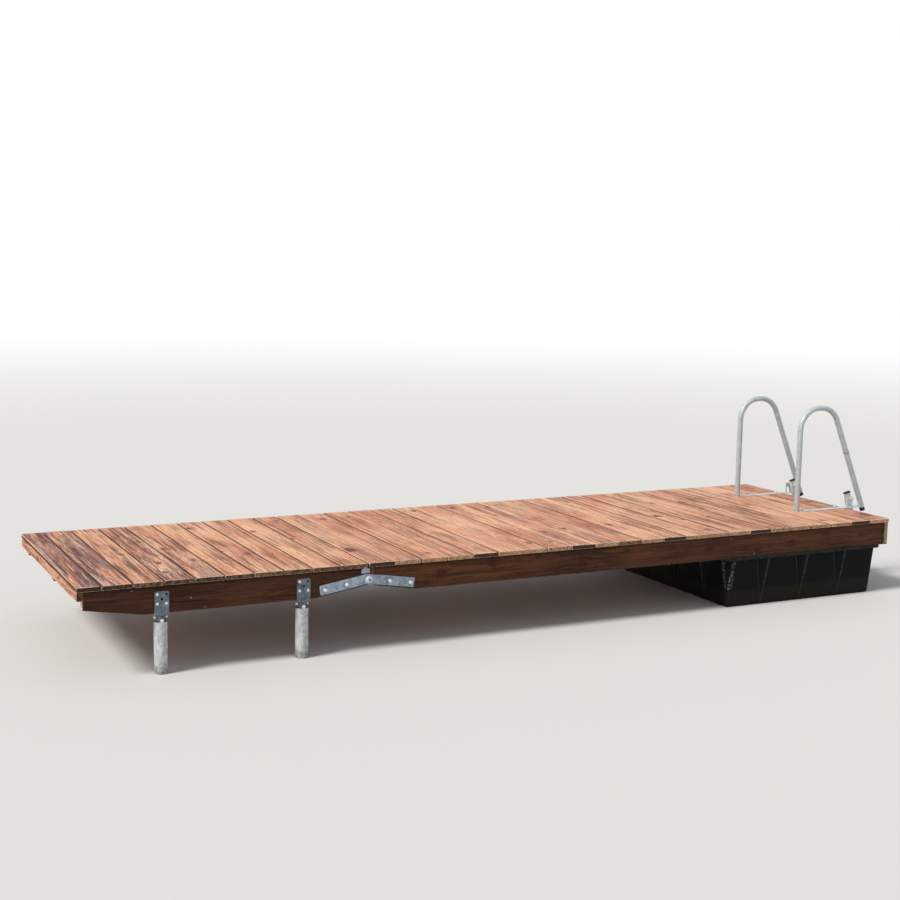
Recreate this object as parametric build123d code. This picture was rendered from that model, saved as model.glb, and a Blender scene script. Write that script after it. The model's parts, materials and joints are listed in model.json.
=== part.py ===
from build123d import *
import os
from math import atan2, cos, degrees, radians, sin, tan

# A short wooden bathing jetty in two sections, hinged together where the bank
# ends. The shore section stands on four ground screws, the float section lies
# on a plastic float, and a swim ladder with two hoops stands at the lake end.
# Lengths are millimetres. While the pieces are shaped, x runs from the hinge
# towards the lake, y across the jetty from its centre line, and z up from the
# level that everything stands on. The last step moves the origin under the
# middle of the whole jetty.

# Deck
deck_width = 1400.0
board_width = 145.0
board_thickness = 22.0
board_gap = 5.0
shore_full_boards = 9
float_full_boards = 22
ripped_board_width = 112.0
hinge_board_width = 138.0
hinge_deck_gap = 12.0
board_overhang = 8.0
board_edge_easing = 2.0

# Timber frame
stringer_width = 45.0
stringer_depth = 136.0
fascia_thickness = 28.0
shore_fascia_depth = 45.0
noggin_thickness = 45.0
noggin_depth = 95.0
toe_length = 290.0
toe_rise = 46.0
stringer_hinge_gap = 30.0
stringer_past_pivot = 2.0

# Deck hinge
pivot_below_deck = 80.0
arm_length = 262.0
arm_depth = 50.0
arm_thickness = 8.0
arm_slope = 9.0
arm_gap = 1.0
arm_corner = 7.5
joggle_start = 38.0
joggle_end = 58.0
joggle_offset = 3.0
stud_radius = 8.0
stud_clearance = 0.08
washer_radius = 18.0
washer_thickness = 3.0
stud_nut_across_flats = 24.0
stud_nut_thickness = 13.0
stud_tail = 5.0
bevel_below_arm = 8.0
corner_plate_length = 46.0
corner_plate_height = 29.5
corner_plate_peak = 6.0
corner_plate_thickness = 4.0
corner_plate_drop = 0.5
corner_plate_past_pivot = 12.0

# Ground screws and their brackets
first_screw_from_pivot = 1063.0
second_screw_from_pivot = 345.0
screw_tube_radius = 33.0
screw_tube_wall = 3.6
screw_rim_below_stringer = 44.0
stem_radius = 24.0
stem_into_tube = 90.0
bracket_width = 70.0
bracket_thickness = 8.0
bracket_above_seat = 108.0
bracket_corner = 9.0
bracket_hole_radius = 6.0
bracket_hole_from_side = 13.0
bracket_hole_from_top = 14.0
bracket_hole_row_spacing = 46.0
height_bolt_radius = 6.0
height_bolt_length = 66.0
height_bolt_nut = 9.5
height_bolt_nut_thickness = 8.0
height_bolt_spacing = 13.5
fit_clearance = 0.2

# Plastic float
float_length = 1100.0
float_lip_from_lake_end = 52.5
float_width = 1340.0
float_height = 300.0
float_lip_thickness = 17.0
float_lip_reach = 27.0
float_lip_corner = 30.0
float_draft = 4.0
groove_pitch = 287.0
groove_count = 3
end_groove_count = 4
groove_half_width = 46.0
groove_depth = 42.0
groove_length = 178.0
corner_facet = 46.0
float_bottom_edge = 12.0

# Ladder hoops
hoop_spacing = 600.0
hoop_tube_radius = 16.85
hoop_foot_from_pivot = 3062.0
hoop_height = 643.0
hoop_top_length = 251.0
hoop_reach = 523.0
hoop_bend_radius = 138.0
hoop_end_below_deck = 2.0
plug_length = 22.0
base_bar_width = 40.0
base_bar_thickness = 5.0
base_bar_tail = 17.0

# Ladder flight
lug_thickness = 6.0
lug_foot_reach = 36.0
lug_foot_past_pivot = 7.0
lug_foot_width = 8.0
lug_eye_radius = 12.0
lug_web_below_eye = 4.0
lug_shoulder_rise = 8.0
flight_lean = 15.0
flight_pivot_height = 60.0
flight_pivot_from_foot = 435.0
flight_pivot_radius = 6.0
flight_bolt_across_flats = 19.0
flight_nut_thickness = 9.0
flight_bolt_tail = 4.0
pivot_running_gap = 0.07
pivot_side_gap = 1.0
flight_rail_depth = 42.0
flight_rail_width = 20.0
flight_rail_edge = 2.5
flight_rail_gap = 4.0
flight_rail_above_pivot = 28.0
flight_floor_clearance = 14.0
latch_thickness = 10.0
latch_overlap = 0.5
tread_rise = 235.0
tread_depth = 80.0
tread_thickness = 30.0
tread_edge = 9.0
lowest_tread_above_end = 26.0

# Heights and places that follow from the sizes above
stringer_bottom = float_height
stringer_top = stringer_bottom + stringer_depth
deck_top = stringer_top + board_thickness
board_pitch = board_width + board_gap
pivot_z = deck_top - pivot_below_deck
shore_board_edge = -board_gap / 2
float_board_edge = shore_board_edge + hinge_deck_gap
shore_end = shore_board_edge - shore_full_boards * board_pitch - ripped_board_width
second_float_board = float_board_edge + hinge_board_width + board_gap
lake_end = second_float_board + float_full_boards * board_pitch - board_gap
stringer_face = deck_width / 2 - board_overhang
side_stringer_y = stringer_face - stringer_width / 2
shore_stringer_start = shore_end + fascia_thickness
shore_stringer_end = stringer_past_pivot
float_stringer_start = stringer_past_pivot + stringer_hinge_gap
float_stringer_end = lake_end - fascia_thickness
float_from_pivot = lake_end - float_lip_from_lake_end - float_lip_reach - float_length
arm_tan = tan(radians(arm_slope))
screw_rim_z = stringer_bottom - screw_rim_below_stringer
hoop_y = hoop_spacing / 2
flight_pivot_x = hoop_foot_from_pivot + flight_pivot_from_foot
flight_pivot_z = deck_top + flight_pivot_height
rail_outer_y = hoop_y - base_bar_width / 2 - flight_rail_gap
rail_inner_y = rail_outer_y - flight_rail_width
lug_inner_y = hoop_y - lug_thickness / 2


def block(x0, x1, y0, y1, z0, z1):
    """A plain block between two corners."""
    size = Box(abs(x1 - x0), abs(y1 - y0), abs(z1 - z0))
    return Pos((x0 + x1) / 2, (y0 + y1) / 2, (z0 + z1) / 2) * size


def side_plate(points, y_low, thickness):
    """A plate whose outline is drawn in x and z, from y_low to y_low + thickness."""
    outline = Plane.XZ * make_face(Polyline(*points, close=True))
    return Pos(0, y_low + thickness, 0) * extrude(outline, thickness)


def cross_rod(x, z, y_low, length, radius):
    """A round bar along y."""
    rod = extrude(Plane.XZ * Circle(radius), length)
    return Pos(x, y_low + length, z) * rod


# Deck boards

def deck_board(low, width):
    """One board across the jetty, with its long top edges eased."""
    board = block(low, low + width, -deck_width / 2, deck_width / 2, stringer_top, deck_top)
    top_edges = board.edges().filter_by(Axis.Y).group_by(Axis.Z)[-1]
    return chamfer(top_edges, board_edge_easing)


def shore_boards():
    """Nine full boards and the ripped one at the bank."""
    boards = [deck_board(shore_end, ripped_board_width)]
    for index in range(shore_full_boards):
        low = shore_board_edge - board_width - index * board_pitch
        boards.append(deck_board(low, board_width))
    return boards


def float_boards():
    """The board ripped to fit at the hinge and the full boards up to the lake end."""
    boards = [deck_board(float_board_edge, hinge_board_width)]
    for index in range(float_full_boards):
        boards.append(deck_board(second_float_board + index * board_pitch, board_width))
    return boards


# Timber frame

def bevel_height(x):
    """Height of the bevelled underside at a distance x from the pivot."""
    return pivot_z - arm_depth / 2 / cos(radians(arm_slope)) - bevel_below_arm - arm_tan * abs(x)


def bevel_start():
    """Distance from the pivot at which the bevel leaves the underside."""
    drop = bevel_height(0.0) - stringer_bottom
    return drop / arm_tan


def shore_stringer(y):
    """A bearer with a raised toe at the bank and a bevel that lets the hinge fold."""
    points = [
        (shore_stringer_start, stringer_top),
        (shore_stringer_start, stringer_bottom + toe_rise),
        (shore_stringer_start + toe_length, stringer_bottom),
        (-bevel_start(), stringer_bottom),
        (shore_stringer_end, bevel_height(shore_stringer_end)),
        (shore_stringer_end, stringer_top),
    ]
    return side_plate(points, y - stringer_width / 2, stringer_width)


def float_stringer(y):
    """A bearer of the float section, bevelled at the hinge."""
    points = [
        (float_stringer_start, stringer_top),
        (float_stringer_start, bevel_height(float_stringer_start)),
        (bevel_start(), stringer_bottom),
        (float_stringer_end, stringer_bottom),
        (float_stringer_end, stringer_top),
    ]
    return side_plate(points, y - stringer_width / 2, stringer_width)


def noggins(x):
    """Two short cross pieces, one in each bay between the bearers."""
    inner = stringer_width / 2
    outer = side_stringer_y - stringer_width / 2
    low = stringer_top - noggin_depth
    pieces = []
    for side in (-1, 1):
        pieces.append(block(x - noggin_thickness / 2, x + noggin_thickness / 2,
                            side * inner, side * outer, low, stringer_top))
    return pieces


def fascia(x, depth):
    """A board across the ends of the bearers, under the deck."""
    return block(x, x + fascia_thickness, -stringer_face, stringer_face, stringer_top - depth, stringer_top)


# Deck hinge, drawn for the side at +y and mirrored for the other

def shore_arm():
    """A flat bar on the bearer's face, with its rounded end at the pivot and a welded stud."""
    half = arm_depth / 2
    outline = make_face(Polyline((-arm_length, -half), (0, -half), (0, half), (-arm_length, half), close=True))
    outline = fillet(outline.vertices().group_by(Axis.X)[0], arm_corner)
    outline = outline + Circle(half)
    flat = extrude(Plane.XZ * outline, -arm_thickness)
    arm = Pos(0, stringer_face, pivot_z) * (Rot(0, -arm_slope, 0) * flat)
    stud_length = 2 * arm_thickness + arm_gap + washer_thickness + stud_nut_thickness + stud_tail
    return arm + cross_rod(0, pivot_z, stringer_face, stud_length, stud_radius)


def float_arm():
    """A bar that lies on the bearer and steps outwards to pass over the other arm."""
    half = arm_depth / 2
    step = arm_thickness + arm_gap
    plan = [
        (-half, step), (joggle_start, step), (joggle_end, 0), (arm_length, 0),
        (arm_length, arm_thickness), (joggle_end + joggle_offset, arm_thickness),
        (joggle_start + joggle_offset, step + arm_thickness), (-half, step + arm_thickness),
    ]
    strip = extrude(make_face(Polyline(*plan, close=True)), half, both=True)
    side = make_face(Polyline((0, -half), (arm_length, -half), (arm_length, half), (0, half), close=True))
    side = side + Circle(half)
    side = side - Circle(stud_radius + stud_clearance)
    arm = strip & extrude(Plane.XZ * side, -3 * arm_depth)
    return Pos(0, stringer_face, pivot_z) * (Rot(0, arm_slope, 0) * arm)


def pivot_nut():
    """The washer and hexagon nut that hold the two arms on the stud."""
    low = stringer_face + 2 * arm_thickness + arm_gap
    washer = cross_rod(0, pivot_z, low + fit_clearance, washer_thickness, washer_radius)
    hexagon = RegularPolygon(stud_nut_across_flats / 2, 6, major_radius=False)
    nut = Pos(0, low + fit_clearance + washer_thickness, pivot_z) * extrude(Plane.XZ * hexagon, -stud_nut_thickness)
    bore = cross_rod(0, pivot_z, low, 2 * stud_nut_thickness, stud_radius + stud_clearance)
    return washer + nut - bore


def corner_plate():
    """A small plate with a peaked top on the bearer's face above the pivot."""
    x1 = corner_plate_past_pivot
    x0 = x1 - corner_plate_length
    top = stringer_top - corner_plate_drop
    low = top - corner_plate_height
    shoulder = top - corner_plate_peak
    outline = [(x0, low), (x1, low), (x1, shoulder), ((x0 + x1) / 2, top), (x0, shoulder)]
    return side_plate(outline, stringer_face, corner_plate_thickness)


# Ground screws, drawn for the side at +y and mirrored for the other

def ground_screw(x):
    """The tube of a ground screw, from the ground up to its rim."""
    tube = extrude(Circle(screw_tube_radius) - Circle(screw_tube_radius - screw_tube_wall), screw_rim_z)
    return Pos(x, side_stringer_y, 0) * tube


def height_bolt_z(level):
    """Height of a bolt's axis. The nuts of the lowest one rest on the rim of the tube with a flat."""
    return screw_rim_z + height_bolt_nut * cos(radians(30)) + fit_clearance + level


def height_bolt(x, level, along_x):
    """A bolt through the stem with a nut against each side of it."""
    shank = Cylinder(height_bolt_radius, height_bolt_length)
    nut = extrude(RegularPolygon(height_bolt_nut, 6), height_bolt_nut_thickness)
    seat = stem_radius + fit_clearance
    low = Pos(0, 0, -seat - height_bolt_nut_thickness) * nut
    high = Pos(0, 0, seat) * nut
    turn = Rot(0, 90, 0) if along_x else Rot(90, 0, 0)
    return Pos(x, side_stringer_y, height_bolt_z(level)) * (turn * (shank + low + high))


def bracket(x):
    """Side plate, seat and stem, welded into one, with the holes that are left empty."""
    seat_low = stringer_bottom - bracket_thickness
    half = bracket_width / 2
    face = stringer_face
    top = stringer_bottom + bracket_above_seat
    side = block(x - half, x + half, face, face + bracket_thickness, seat_low, top)
    side = fillet(side.edges().filter_by(Axis.Y).group_by(Axis.Z)[-1], bracket_corner)
    first_row = top - bracket_hole_from_top
    for hole_x, hole_z in (
        (x + half - bracket_hole_from_side, first_row),
        (x, first_row - bracket_hole_row_spacing / 2),
    ):
        side = side - cross_rod(hole_x, hole_z, face - fit_clearance, 2 * bracket_thickness, bracket_hole_radius)
    seat = block(x - half, x + half, face - stringer_width, face + bracket_thickness / 2, seat_low, stringer_bottom)
    stem_length = seat_low - screw_rim_z + stem_into_tube
    stem = Pos(x, side_stringer_y, seat_low - stem_length / 2) * Cylinder(stem_radius, stem_length)
    whole = side + seat + stem
    for level, along_x in ((0.0, False), (height_bolt_spacing, True)):
        turn = Rot(0, 90, 0) if along_x else Rot(90, 0, 0)
        hole = Cylinder(height_bolt_radius + fit_clearance, 3 * stem_radius)
        whole = whole - Pos(x, side_stringer_y, height_bolt_z(level)) * (turn * hole)
    return whole


# Plastic float

def pyramid(base, apex):
    """A solid with flat sides from the corners of a base to a point."""
    faces = [Face(Wire.make_polygon(base))]
    for index, corner in enumerate(base):
        faces.append(Face(Wire.make_polygon([corner, base[(index + 1) % len(base)], apex])))
    return Solid(Shell(faces))


def wall_notch():
    """A groove that is a triangle at the top and runs down to a point on the drafted wall."""
    out = groove_depth / 2
    spread = groove_half_width * (1 + out / groove_depth)
    inset = groove_length * tan(radians(float_draft))
    base = [Vector(-spread, -out, 0), Vector(spread, -out, 0), Vector(0, groove_depth, 0)]
    return pyramid(base, Vector(0, inset, -groove_length))


def corner_notch():
    """A facet that takes the corner off at the top and runs down to a point on its edge."""
    out = corner_facet / 2
    inset = groove_length * tan(radians(float_draft))
    base = [Vector(-corner_facet - out, out, 0), Vector(out, out, 0), Vector(out, -corner_facet - out, 0)]
    return pyramid(base, Vector(-inset, -inset, -groove_length))


def plastic_float():
    """A moulded float: a flanged lid over a drafted tub with tapered grooves, and facets towards the bank."""
    tub_top = float_height - float_lip_thickness
    middle = float_from_pivot + float_length / 2
    half_length = float_length / 2
    half_width = float_width / 2
    tub = extrude(Pos(0, 0, tub_top) * Rectangle(float_length, float_width), -tub_top, taper=float_draft)
    tub = chamfer(tub.faces().sort_by(Axis.Z)[0].edges(), float_bottom_edge)
    groove = wall_notch()
    for index in range(groove_count):
        x = (index - (groove_count - 1) / 2) * groove_pitch
        for turn, y in ((0, -half_width), (180, half_width)):
            tub = tub - Pos(x, y, tub_top) * (Rot(0, 0, turn) * groove)
    for index in range(end_groove_count):
        y = (index - (end_groove_count - 1) / 2) * groove_pitch
        for turn, x in ((-90, -half_length), (90, half_length)):
            tub = tub - Pos(x, y, tub_top) * (Rot(0, 0, turn) * groove)
    facet = corner_notch()
    for turn, side in ((90, 1), (180, -1)):
        tub = tub - Pos(-half_length, side * half_width, tub_top) * (Rot(0, 0, turn) * facet)
    lip = extrude(RectangleRounded(float_length + 2 * float_lip_reach, float_width + 2 * float_lip_reach,
                                   float_lip_corner), float_lip_thickness)
    return Pos(middle, 0, 0) * (tub + Pos(0, 0, tub_top) * lip)


# Ladder hoops and base bars, drawn for the side at +y and mirrored for the other

def hoop_corners():
    """The corners of the hoop's centre line, as points in x and z."""
    foot = (hoop_foot_from_pivot, deck_top + base_bar_thickness)
    first = (hoop_foot_from_pivot, deck_top + hoop_height)
    second = (hoop_foot_from_pivot + hoop_top_length, deck_top + hoop_height)
    slope = (hoop_reach - hoop_top_length) / hoop_height
    end_z = deck_top - hoop_end_below_deck
    end = (hoop_foot_from_pivot + hoop_reach + slope * hoop_end_below_deck, end_z)
    return foot, first, second, end


def hoop():
    """A tube bent into a hoop, upright at the deck and sloping out at the lake."""
    corners = [(x, hoop_y, z) for x, z in hoop_corners()]
    path = FilletPolyline(*corners, radius=hoop_bend_radius)
    return sweep(Plane(path @ 0, z_dir=path % 0) * Circle(hoop_tube_radius), path)


def hoop_plug():
    """The plastic plug in the open end of the hoop."""
    second, end = hoop_corners()[2:]
    angle = degrees(atan2(end[0] - second[0], second[1] - end[1]))
    cap = Pos(0, 0, -plug_length / 2) * Cylinder(hoop_tube_radius, plug_length)
    return Pos(end[0], hoop_y, end[1]) * (Rot(0, -angle, 0) * cap)


def base_bar():
    """The flat bar on the deck that joins the two ends of a hoop."""
    slope = (hoop_reach - hoop_top_length) / hoop_height
    tube_side = hoop_tube_radius / cos(atan2(slope, 1))
    far = hoop_foot_from_pivot + hoop_reach - tube_side - slope * base_bar_thickness
    near = hoop_foot_from_pivot - base_bar_tail
    low = hoop_y - base_bar_width / 2
    return block(near, far, low, low + base_bar_width, deck_top, deck_top + base_bar_thickness)


def lug():
    """An upright ear on the base bar: two legs and a web under the eye that holds the flight's bolt."""
    x = flight_pivot_x
    low = deck_top + base_bar_thickness
    bank_foot = x - lug_foot_reach
    lake_foot = x + lug_foot_past_pivot
    web_low = flight_pivot_z - lug_eye_radius - lug_web_below_eye
    ear = side_plate([(bank_foot, low), (lake_foot, low), (x + lug_eye_radius, flight_pivot_z),
                      (x, flight_pivot_z + lug_eye_radius), (bank_foot, flight_pivot_z + lug_shoulder_rise)],
                     lug_inner_y, lug_thickness)
    ear = ear + cross_rod(x, flight_pivot_z, lug_inner_y, lug_thickness, lug_eye_radius)
    window = side_plate([(bank_foot + lug_foot_width, low), (lake_foot - lug_foot_width, low),
                         (x - lug_eye_radius, web_low), (bank_foot + lug_foot_width, web_low)],
                        lug_inner_y - lug_thickness, 3 * lug_thickness)
    bore = cross_rod(x, flight_pivot_z, lug_inner_y - lug_thickness, 3 * lug_thickness,
                     flight_pivot_radius + fit_clearance)
    return ear - window - bore


# Ladder flight, leaning outwards below its pivot

def along_flight(piece):
    """Leans a piece, drawn upright about the pivot, into the line of the flight."""
    return Pos(flight_pivot_x, 0, flight_pivot_z) * (Rot(0, -flight_lean, 0) * piece)


def rail_reach():
    """Length of a side rail below the pivot, so that its lowest corner clears the floor."""
    lean = radians(flight_lean)
    height = flight_pivot_z - flight_floor_clearance - flight_rail_depth / 2 * sin(lean)
    return height / cos(lean)


def flight_rail():
    """One side rail of the hanging flight, a flat tube bored for its pivot."""
    low = -rail_reach()
    high = flight_rail_above_pivot
    rail = Pos(0, (rail_inner_y + rail_outer_y) / 2, (low + high) / 2) * Box(
        flight_rail_depth, flight_rail_width, high - low)
    rail = chamfer(rail.edges().filter_by(Axis.Z), flight_rail_edge)
    bore = cross_rod(0, 0, rail_inner_y - flight_rail_width, 3 * flight_rail_width,
                     flight_pivot_radius + pivot_running_gap)
    return along_flight(rail - bore)


def rail_latch():
    """The black latch piece on the top end of a side rail."""
    block_height = flight_rail_above_pivot + latch_thickness / 2
    latch = Pos(0, (rail_inner_y + rail_outer_y) / 2, block_height) * Box(
        flight_rail_depth + 2 * latch_overlap, flight_rail_width + 2 * latch_overlap, latch_thickness)
    return along_flight(chamfer(latch.edges().group_by(Axis.Z)[-1], flight_rail_edge))


def flight_pivot():
    """The bolt that holds a rail on its ear, with its head, the ear's nut and the rail's nut."""
    hexagon = RegularPolygon(flight_bolt_across_flats / 2, 6, major_radius=False)
    head = lug_inner_y + lug_thickness + fit_clearance
    ear_nut = lug_inner_y - fit_clearance - flight_nut_thickness
    rail_nut = rail_inner_y - pivot_side_gap - flight_nut_thickness
    low = rail_nut - flight_bolt_tail
    bolt = cross_rod(flight_pivot_x, flight_pivot_z, low, head + flight_nut_thickness - low, flight_pivot_radius)
    for y in (head, ear_nut, rail_nut):
        nut = extrude(Plane.XZ * hexagon, -flight_nut_thickness)
        bolt = bolt + Pos(flight_pivot_x, y, flight_pivot_z) * nut
    return bolt


def flight_tread(index):
    """A level step between the side rails, counted from the bottom."""
    end = rail_inner_y - fit_clearance
    low = flight_floor_clearance + lowest_tread_above_end + index * tread_rise
    middle = flight_pivot_x + (flight_pivot_z - low - tread_thickness / 2) * tan(radians(flight_lean))
    step = block(middle - tread_depth / 2, middle + tread_depth / 2, -end, end, low, low + tread_thickness)
    return fillet(step.edges().filter_by(Axis.Y), tread_edge)


# Put the pieces in their nodes

def both_sides(piece):
    """A piece at +y and its mirror image at -y."""
    return [piece, mirror(piece, Plane.XZ)]


nodes = {}


def near_and_far(name, piece):
    """The mirror image at -y is the near one, and the piece at +y the far one."""
    nodes[name + "_near"] = [mirror(piece, Plane.XZ)]
    nodes[name + "_far"] = [piece]


nodes["shore_deck_boards"] = shore_boards()
nodes["float_deck_boards"] = float_boards()
for place, offset in (("near", -side_stringer_y), ("middle", 0.0), ("far", side_stringer_y)):
    nodes["shore_stringer_" + place] = [shore_stringer(offset)]
    nodes["float_stringer_" + place] = [float_stringer(offset)]
nodes["shore_end_fascia"] = [fascia(shore_end, shore_fascia_depth)]
nodes["lake_end_fascia"] = [fascia(lake_end - fascia_thickness, stringer_depth)]
nodes["shore_hinge_noggins"] = noggins(shore_stringer_end - 2 * noggin_thickness)
nodes["shore_middle_noggins"] = noggins((shore_stringer_start + shore_stringer_end) / 2)
nodes["float_hinge_noggins"] = noggins(float_stringer_start + 2 * noggin_thickness)
nodes["float_middle_noggins"] = noggins((float_stringer_start + float_stringer_end) / 3)
nodes["float_seat_noggins"] = noggins(float_from_pivot - float_lip_reach)

near_and_far("shore_hinge_arm", shore_arm())
near_and_far("float_hinge_arm", float_arm())
near_and_far("hinge_pivot_nut", pivot_nut())
nodes["hinge_corner_plates"] = both_sides(corner_plate())

height_bolts = []
for place, distance in (("shore", first_screw_from_pivot), ("lake", second_screw_from_pivot)):
    near_and_far("ground_screw_" + place, ground_screw(-distance))
    near_and_far("screw_bracket_" + place, bracket(-distance))
    height_bolts += both_sides(height_bolt(-distance, 0.0, False))
    height_bolts += both_sides(height_bolt(-distance, height_bolt_spacing, True))
nodes["screw_height_bolts"] = height_bolts

nodes["plastic_float"] = [plastic_float()]
near_and_far("ladder_hoop", hoop())
near_and_far("ladder_base_bar", base_bar())
near_and_far("ladder_lug", lug())
nodes["hoop_end_plugs"] = both_sides(hoop_plug())
nodes["ladder_latch_levers"] = both_sides(rail_latch())
near_and_far("ladder_rail", flight_rail())
nodes["ladder_pivot_bolts"] = both_sides(flight_pivot())
nodes["ladder_tread_lower"] = [flight_tread(0)]
nodes["ladder_tread_upper"] = [flight_tread(1)]

# Move the origin under the middle and write one file for each node
everything = Compound(children=[Compound(children=pieces) for pieces in nodes.values()])
box = everything.bounding_box()
shift = -(box.min.X + box.max.X) / 2
print("shift along x", round(shift, 3), "lowest", round(box.min.Z, 3), "highest", round(box.max.Z, 3))
print("hinge axis", round(shift, 3), round(pivot_z, 3))
print("flight axis", round(shift + flight_pivot_x, 3), round(flight_pivot_z, 3))
os.makedirs("parts", exist_ok=True)
for name, pieces in nodes.items():
    moved = [Pos(shift, 0, 0) * piece for piece in pieces]
    solids = [solid for piece in moved for solid in piece.solids()]
    export_step(Compound(children=solids) if len(solids) > 1 else solids[0], "parts/" + name + ".step")
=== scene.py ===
# %% [markdown]
# # A wooden bathing jetty, dressed
#
# The construction model gives every plate, tube, beam and board at its real size. This lesson adds what
# the eye reads as a real jetty: stained boards cut from real-looking logs, rounded edges, bolts, welds,
# spangled zinc and a moulded float. Every length is in metres, in the frame of the construction model:
# x runs from the bank to the lake, y across the jetty to its far side, z up.
#
# The model is loaded first, because every later piece takes its place from it.

# %% Load the model
import json
import math

import bmesh
import bpy
import numpy as np
from mathutils import Matrix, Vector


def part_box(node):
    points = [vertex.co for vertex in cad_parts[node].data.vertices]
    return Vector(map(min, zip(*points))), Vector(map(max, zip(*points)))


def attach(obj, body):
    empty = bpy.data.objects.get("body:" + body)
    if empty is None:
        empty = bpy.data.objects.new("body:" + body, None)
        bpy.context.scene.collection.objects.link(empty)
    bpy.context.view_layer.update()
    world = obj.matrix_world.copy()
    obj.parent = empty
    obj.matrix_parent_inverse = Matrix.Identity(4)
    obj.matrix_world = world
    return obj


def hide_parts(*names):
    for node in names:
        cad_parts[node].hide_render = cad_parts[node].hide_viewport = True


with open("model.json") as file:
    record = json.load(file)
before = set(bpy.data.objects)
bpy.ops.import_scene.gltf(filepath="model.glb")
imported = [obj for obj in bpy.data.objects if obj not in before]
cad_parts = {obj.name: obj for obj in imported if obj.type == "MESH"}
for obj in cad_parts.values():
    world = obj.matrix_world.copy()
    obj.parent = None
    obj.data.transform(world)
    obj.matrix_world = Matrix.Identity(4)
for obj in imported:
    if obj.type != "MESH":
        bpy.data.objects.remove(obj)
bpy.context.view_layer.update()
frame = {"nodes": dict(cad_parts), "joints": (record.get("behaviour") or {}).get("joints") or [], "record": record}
nodes = frame["nodes"]
joints = {joint["name"]: joint for joint in frame["joints"]}
random = np.random.default_rng(1407)
print("pieces in the model:", len(nodes), "joints:", sorted(joints))

# %% [markdown]
# ## The camera
#
# The camera stands on the bank side of the near edge, a little above the deck, and looks along the
# jetty towards the lake. Its place was fitted to the board joints of both deck edges, so the picture
# shows the same outline as the real view. A view direction, a level line to the right and their cross
# product make the camera's three axes, and a small roll turns the last two.

# %% Place the camera
hinge = np.array(joints["deck_hinge"]["pos_m"])
camera_from_hinge = np.array([-2.8645, -7.400, 1.670])
camera_place = hinge + camera_from_hinge
camera_heading = math.radians(63.67)
camera_drop = math.radians(7.85)
camera_roll = math.radians(0.98)
focal_length = 58.64
sensor_width = 36.0
camera_reach = 200.0


def camera_axes(heading, drop, roll):
    """Right, up and forward as rows. Forward is heading and drop as a direction, right is level before
    the roll, up is right cross forward, and the roll turns right towards up."""
    forward = np.array([math.cos(heading) * math.cos(drop), math.sin(heading) * math.cos(drop),
                        -math.sin(drop)])
    level = np.array([math.sin(heading), -math.cos(heading), 0.0])
    upright = np.cross(level, forward)
    right = math.cos(roll) * level + math.sin(roll) * upright
    up = math.cos(roll) * upright - math.sin(roll) * level
    return np.array([right, up, forward])


def placed(axes, place):
    """The matrix of an object whose own x, y and z are the given axes, standing at a place."""
    matrix = np.eye(4)
    matrix[:3, :3] = np.array(axes).T
    matrix[:3, 3] = place
    return Matrix(matrix.tolist())


right, up, forward = camera_axes(camera_heading, camera_drop, camera_roll)
camera_data = bpy.data.cameras.new("camera")
camera_data.lens = focal_length
camera_data.sensor_width = sensor_width
camera_data.clip_end = camera_reach
camera = bpy.data.objects.new("camera", camera_data)
camera.matrix_world = placed([right, up, -forward], camera_place)
bpy.context.scene.collection.objects.link(camera)
bpy.context.scene.camera = camera
bpy.context.scene.view_settings.view_transform = "Standard"
print("camera place:", camera_place.round(4))

# %% [markdown]
# ## Wiring a material
#
# Every finish here is a small network of nodes. Written out in full, each network would be long, so
# one helper adds a node and links it in one call. It takes sockets or plain numbers alike, and it has
# short names for products, sums and distances, which lets the finishes below read almost like formulas.

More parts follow.
